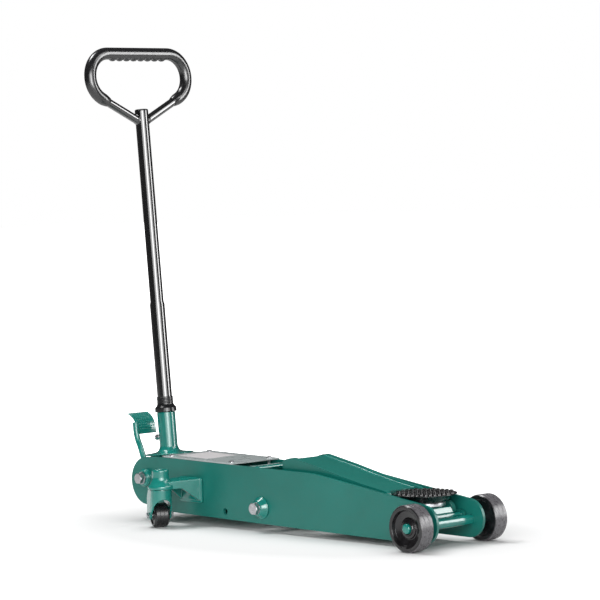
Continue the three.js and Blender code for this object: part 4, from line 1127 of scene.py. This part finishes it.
# ---- studio ----------------------------------------------------------------------------------------
def studio():
    scene = bpy.context.scene
    scene.view_settings.view_transform = "Standard"
    low, high = CAD_BOX
    centre = (low + high) / 2

    floor_mesh = bpy.data.meshes.new("floor")
    reach = FLOOR_REACH
    floor_mesh.from_pydata([(-reach, -reach, 0), (reach, -reach, 0), (reach, reach, 0), (-reach, reach, 0)],
                           [], [(0, 1, 2, 3)])
    floor = bpy.data.objects.new("floor", floor_mesh)
    floor.location.z = low.z - FLOOR_DROP
    paint = Recipe("pale_floor", Roughness=0.9, Emission_Color=(1, 1, 1, 1))
    paint.set("Base Color", paint.mix(paint.noise(400, 2), (0.8, 0.8, 0.8, 1), (0.78, 0.78, 0.78, 1)))
    # Away from the jack the floor melts into the backdrop; the shadows near it stay.
    spread = paint.node("ShaderNodeVectorMath", {"operation": "MULTIPLY"}, Vector=paint.place)
    spread.inputs[1].default_value = (0.62, 1, 1)
    away = paint.node("ShaderNodeVectorMath", {"operation": "LENGTH"}, Vector=spread.outputs["Vector"])
    melt = paint.ramp(away.outputs["Value"], MELT_START, MELT_END, 0.0, MELT_GLOW)
    seen = paint.node("ShaderNodeLightPath").outputs["Is Camera Ray"]
    paint.set("Emission Strength", paint.math("MULTIPLY", melt, seen))
    floor_mesh.materials.append(paint.material)
    scene.collection.objects.link(floor)

    world = bpy.data.worlds.new("studio")
    world.use_nodes = True
    nodes, links = world.node_tree.nodes, world.node_tree.links
    backdrop = nodes["Background"]
    backdrop.inputs["Strength"].default_value = BACKDROP
    fill = nodes.new("ShaderNodeBackground")
    fill.inputs["Strength"].default_value = FILL
    seen = nodes.new("ShaderNodeMixShader")
    links.new(nodes.new("ShaderNodeLightPath").outputs["Is Camera Ray"], seen.inputs[0])
    links.new(fill.outputs[0], seen.inputs[1])
    links.new(backdrop.outputs[0], seen.inputs[2])
    links.new(seen.outputs[0], nodes["World Output"].inputs["Surface"])
    for source in (backdrop, fill):
        source.inputs["Color"].default_value = (1, 1, 1, 1)
    scene.world = world
    for box in SOFTBOXES:
        softbox(centre, **box)


CAMERA_AZIMUTH = 47.01
CAMERA_ELEVATION = 2.60
CAMERA_ROLL = -1.66
CAMERA_DISTANCE = 5.6112
CAMERA_LENS = 168.31
AIM_BEHIND_AXLE = 396.9
AIM_HEIGHT = 464.0
BACKDROP = 1.0
FILL = 0.07
FLOOR_REACH = 30
FLOOR_DROP = 0.0004
MELT_START = 0.3
MELT_END = 1.5
MELT_GLOW = 1.8
# Azimuths are degrees from -Y towards +X; glow is the brightness of the lamp's face.
SOFTBOXES = [
    {"name": "front_fill", "azimuth": CAMERA_AZIMUTH - 10, "rise": 1.3, "away": 4.0, "size": (4.4, 2.1),
     "glow": 4.6, "mirrors": False},
    {"name": "mirror_wide", "azimuth": CAMERA_AZIMUTH + 13, "rise": 1.2, "away": 4.0, "size": (5.6, 2.3),
     "glow": 3.2, "shades": False},
    {"name": "mirror_core", "azimuth": CAMERA_AZIMUTH + 14, "rise": 1.2, "away": 3.9, "size": (1.7, 2.3),
     "glow": 6.5, "shades": False},
    {"name": "rim_strip", "azimuth": CAMERA_AZIMUTH + 90, "rise": 1.2, "away": 3.4, "size": (1.0, 2.2),
     "glow": 9.0, "shades": False},
    {"name": "rim_fill", "azimuth": CAMERA_AZIMUTH + 70, "rise": 2.6, "away": 2.6, "size": (1.4, 1.0),
     "glow": 4.0},
    {"name": "overhead", "azimuth": CAMERA_AZIMUTH + 180, "rise": 3.0, "away": 0.9, "size": (3.0, 2.4),
     "glow": 3.3, "mirrors": False},
    {"name": "key", "azimuth": CAMERA_AZIMUTH - 112, "rise": 3.2, "away": 1.6, "size": (0.9, 0.9),
     "glow": 16.0},
]


def softbox(centre, name, azimuth, rise, away, size, glow, shades=True, mirrors=True):
    """A rectangular lamp that faces the jack, and lights it, is seen in its gloss, or both."""
    light = bpy.data.lights.new(name, "AREA")
    light.shape = "RECTANGLE"
    light.size, light.size_y = size
    light.energy = glow * math.pi * size[0] * size[1]
    obj = bpy.data.objects.new(name, light)
    obj.visible_diffuse = shades
    obj.visible_glossy = mirrors
    angle = math.radians(azimuth)
    obj.location = Vector((centre.x + away * math.sin(angle), centre.y - away * math.cos(angle), rise))
    aim = Vector((centre.x, centre.y, centre.z if rise < 2 else 0)) - obj.location
    obj.rotation_mode = "QUATERNION"
    obj.rotation_quaternion = aim.to_track_quat("-Z", "Y")
    bpy.context.scene.collection.objects.link(obj)


def camera():
    """Seen from the lifting end's right side, a little above the middle of the jack."""
    azimuth, elevation, roll = (math.radians(angle)
                                for angle in (CAMERA_AZIMUTH, CAMERA_ELEVATION, CAMERA_ROLL))
    target = Vector((AXLE.x - AIM_BEHIND_AXLE, 0, AIM_HEIGHT)) * MM
    back = Vector((math.sin(azimuth) * math.cos(elevation), -math.cos(azimuth) * math.cos(elevation),
                   math.sin(elevation)))
    data = bpy.data.cameras.new("camera")
    data.lens = CAMERA_LENS
    data.sensor_width = 36
    data.clip_end = 100
    obj = bpy.data.objects.new("camera", data)
    obj.rotation_mode = "QUATERNION"
    level = (-back).to_track_quat("-Z", "Y").to_matrix()
    obj.rotation_quaternion = (level @ Matrix.Rotation(roll, 3, "Z")).to_quaternion()
    obj.location = target + back * CAMERA_DISTANCE
    bpy.context.scene.collection.objects.link(obj)
    bpy.context.scene.camera = obj


studio()
camera()
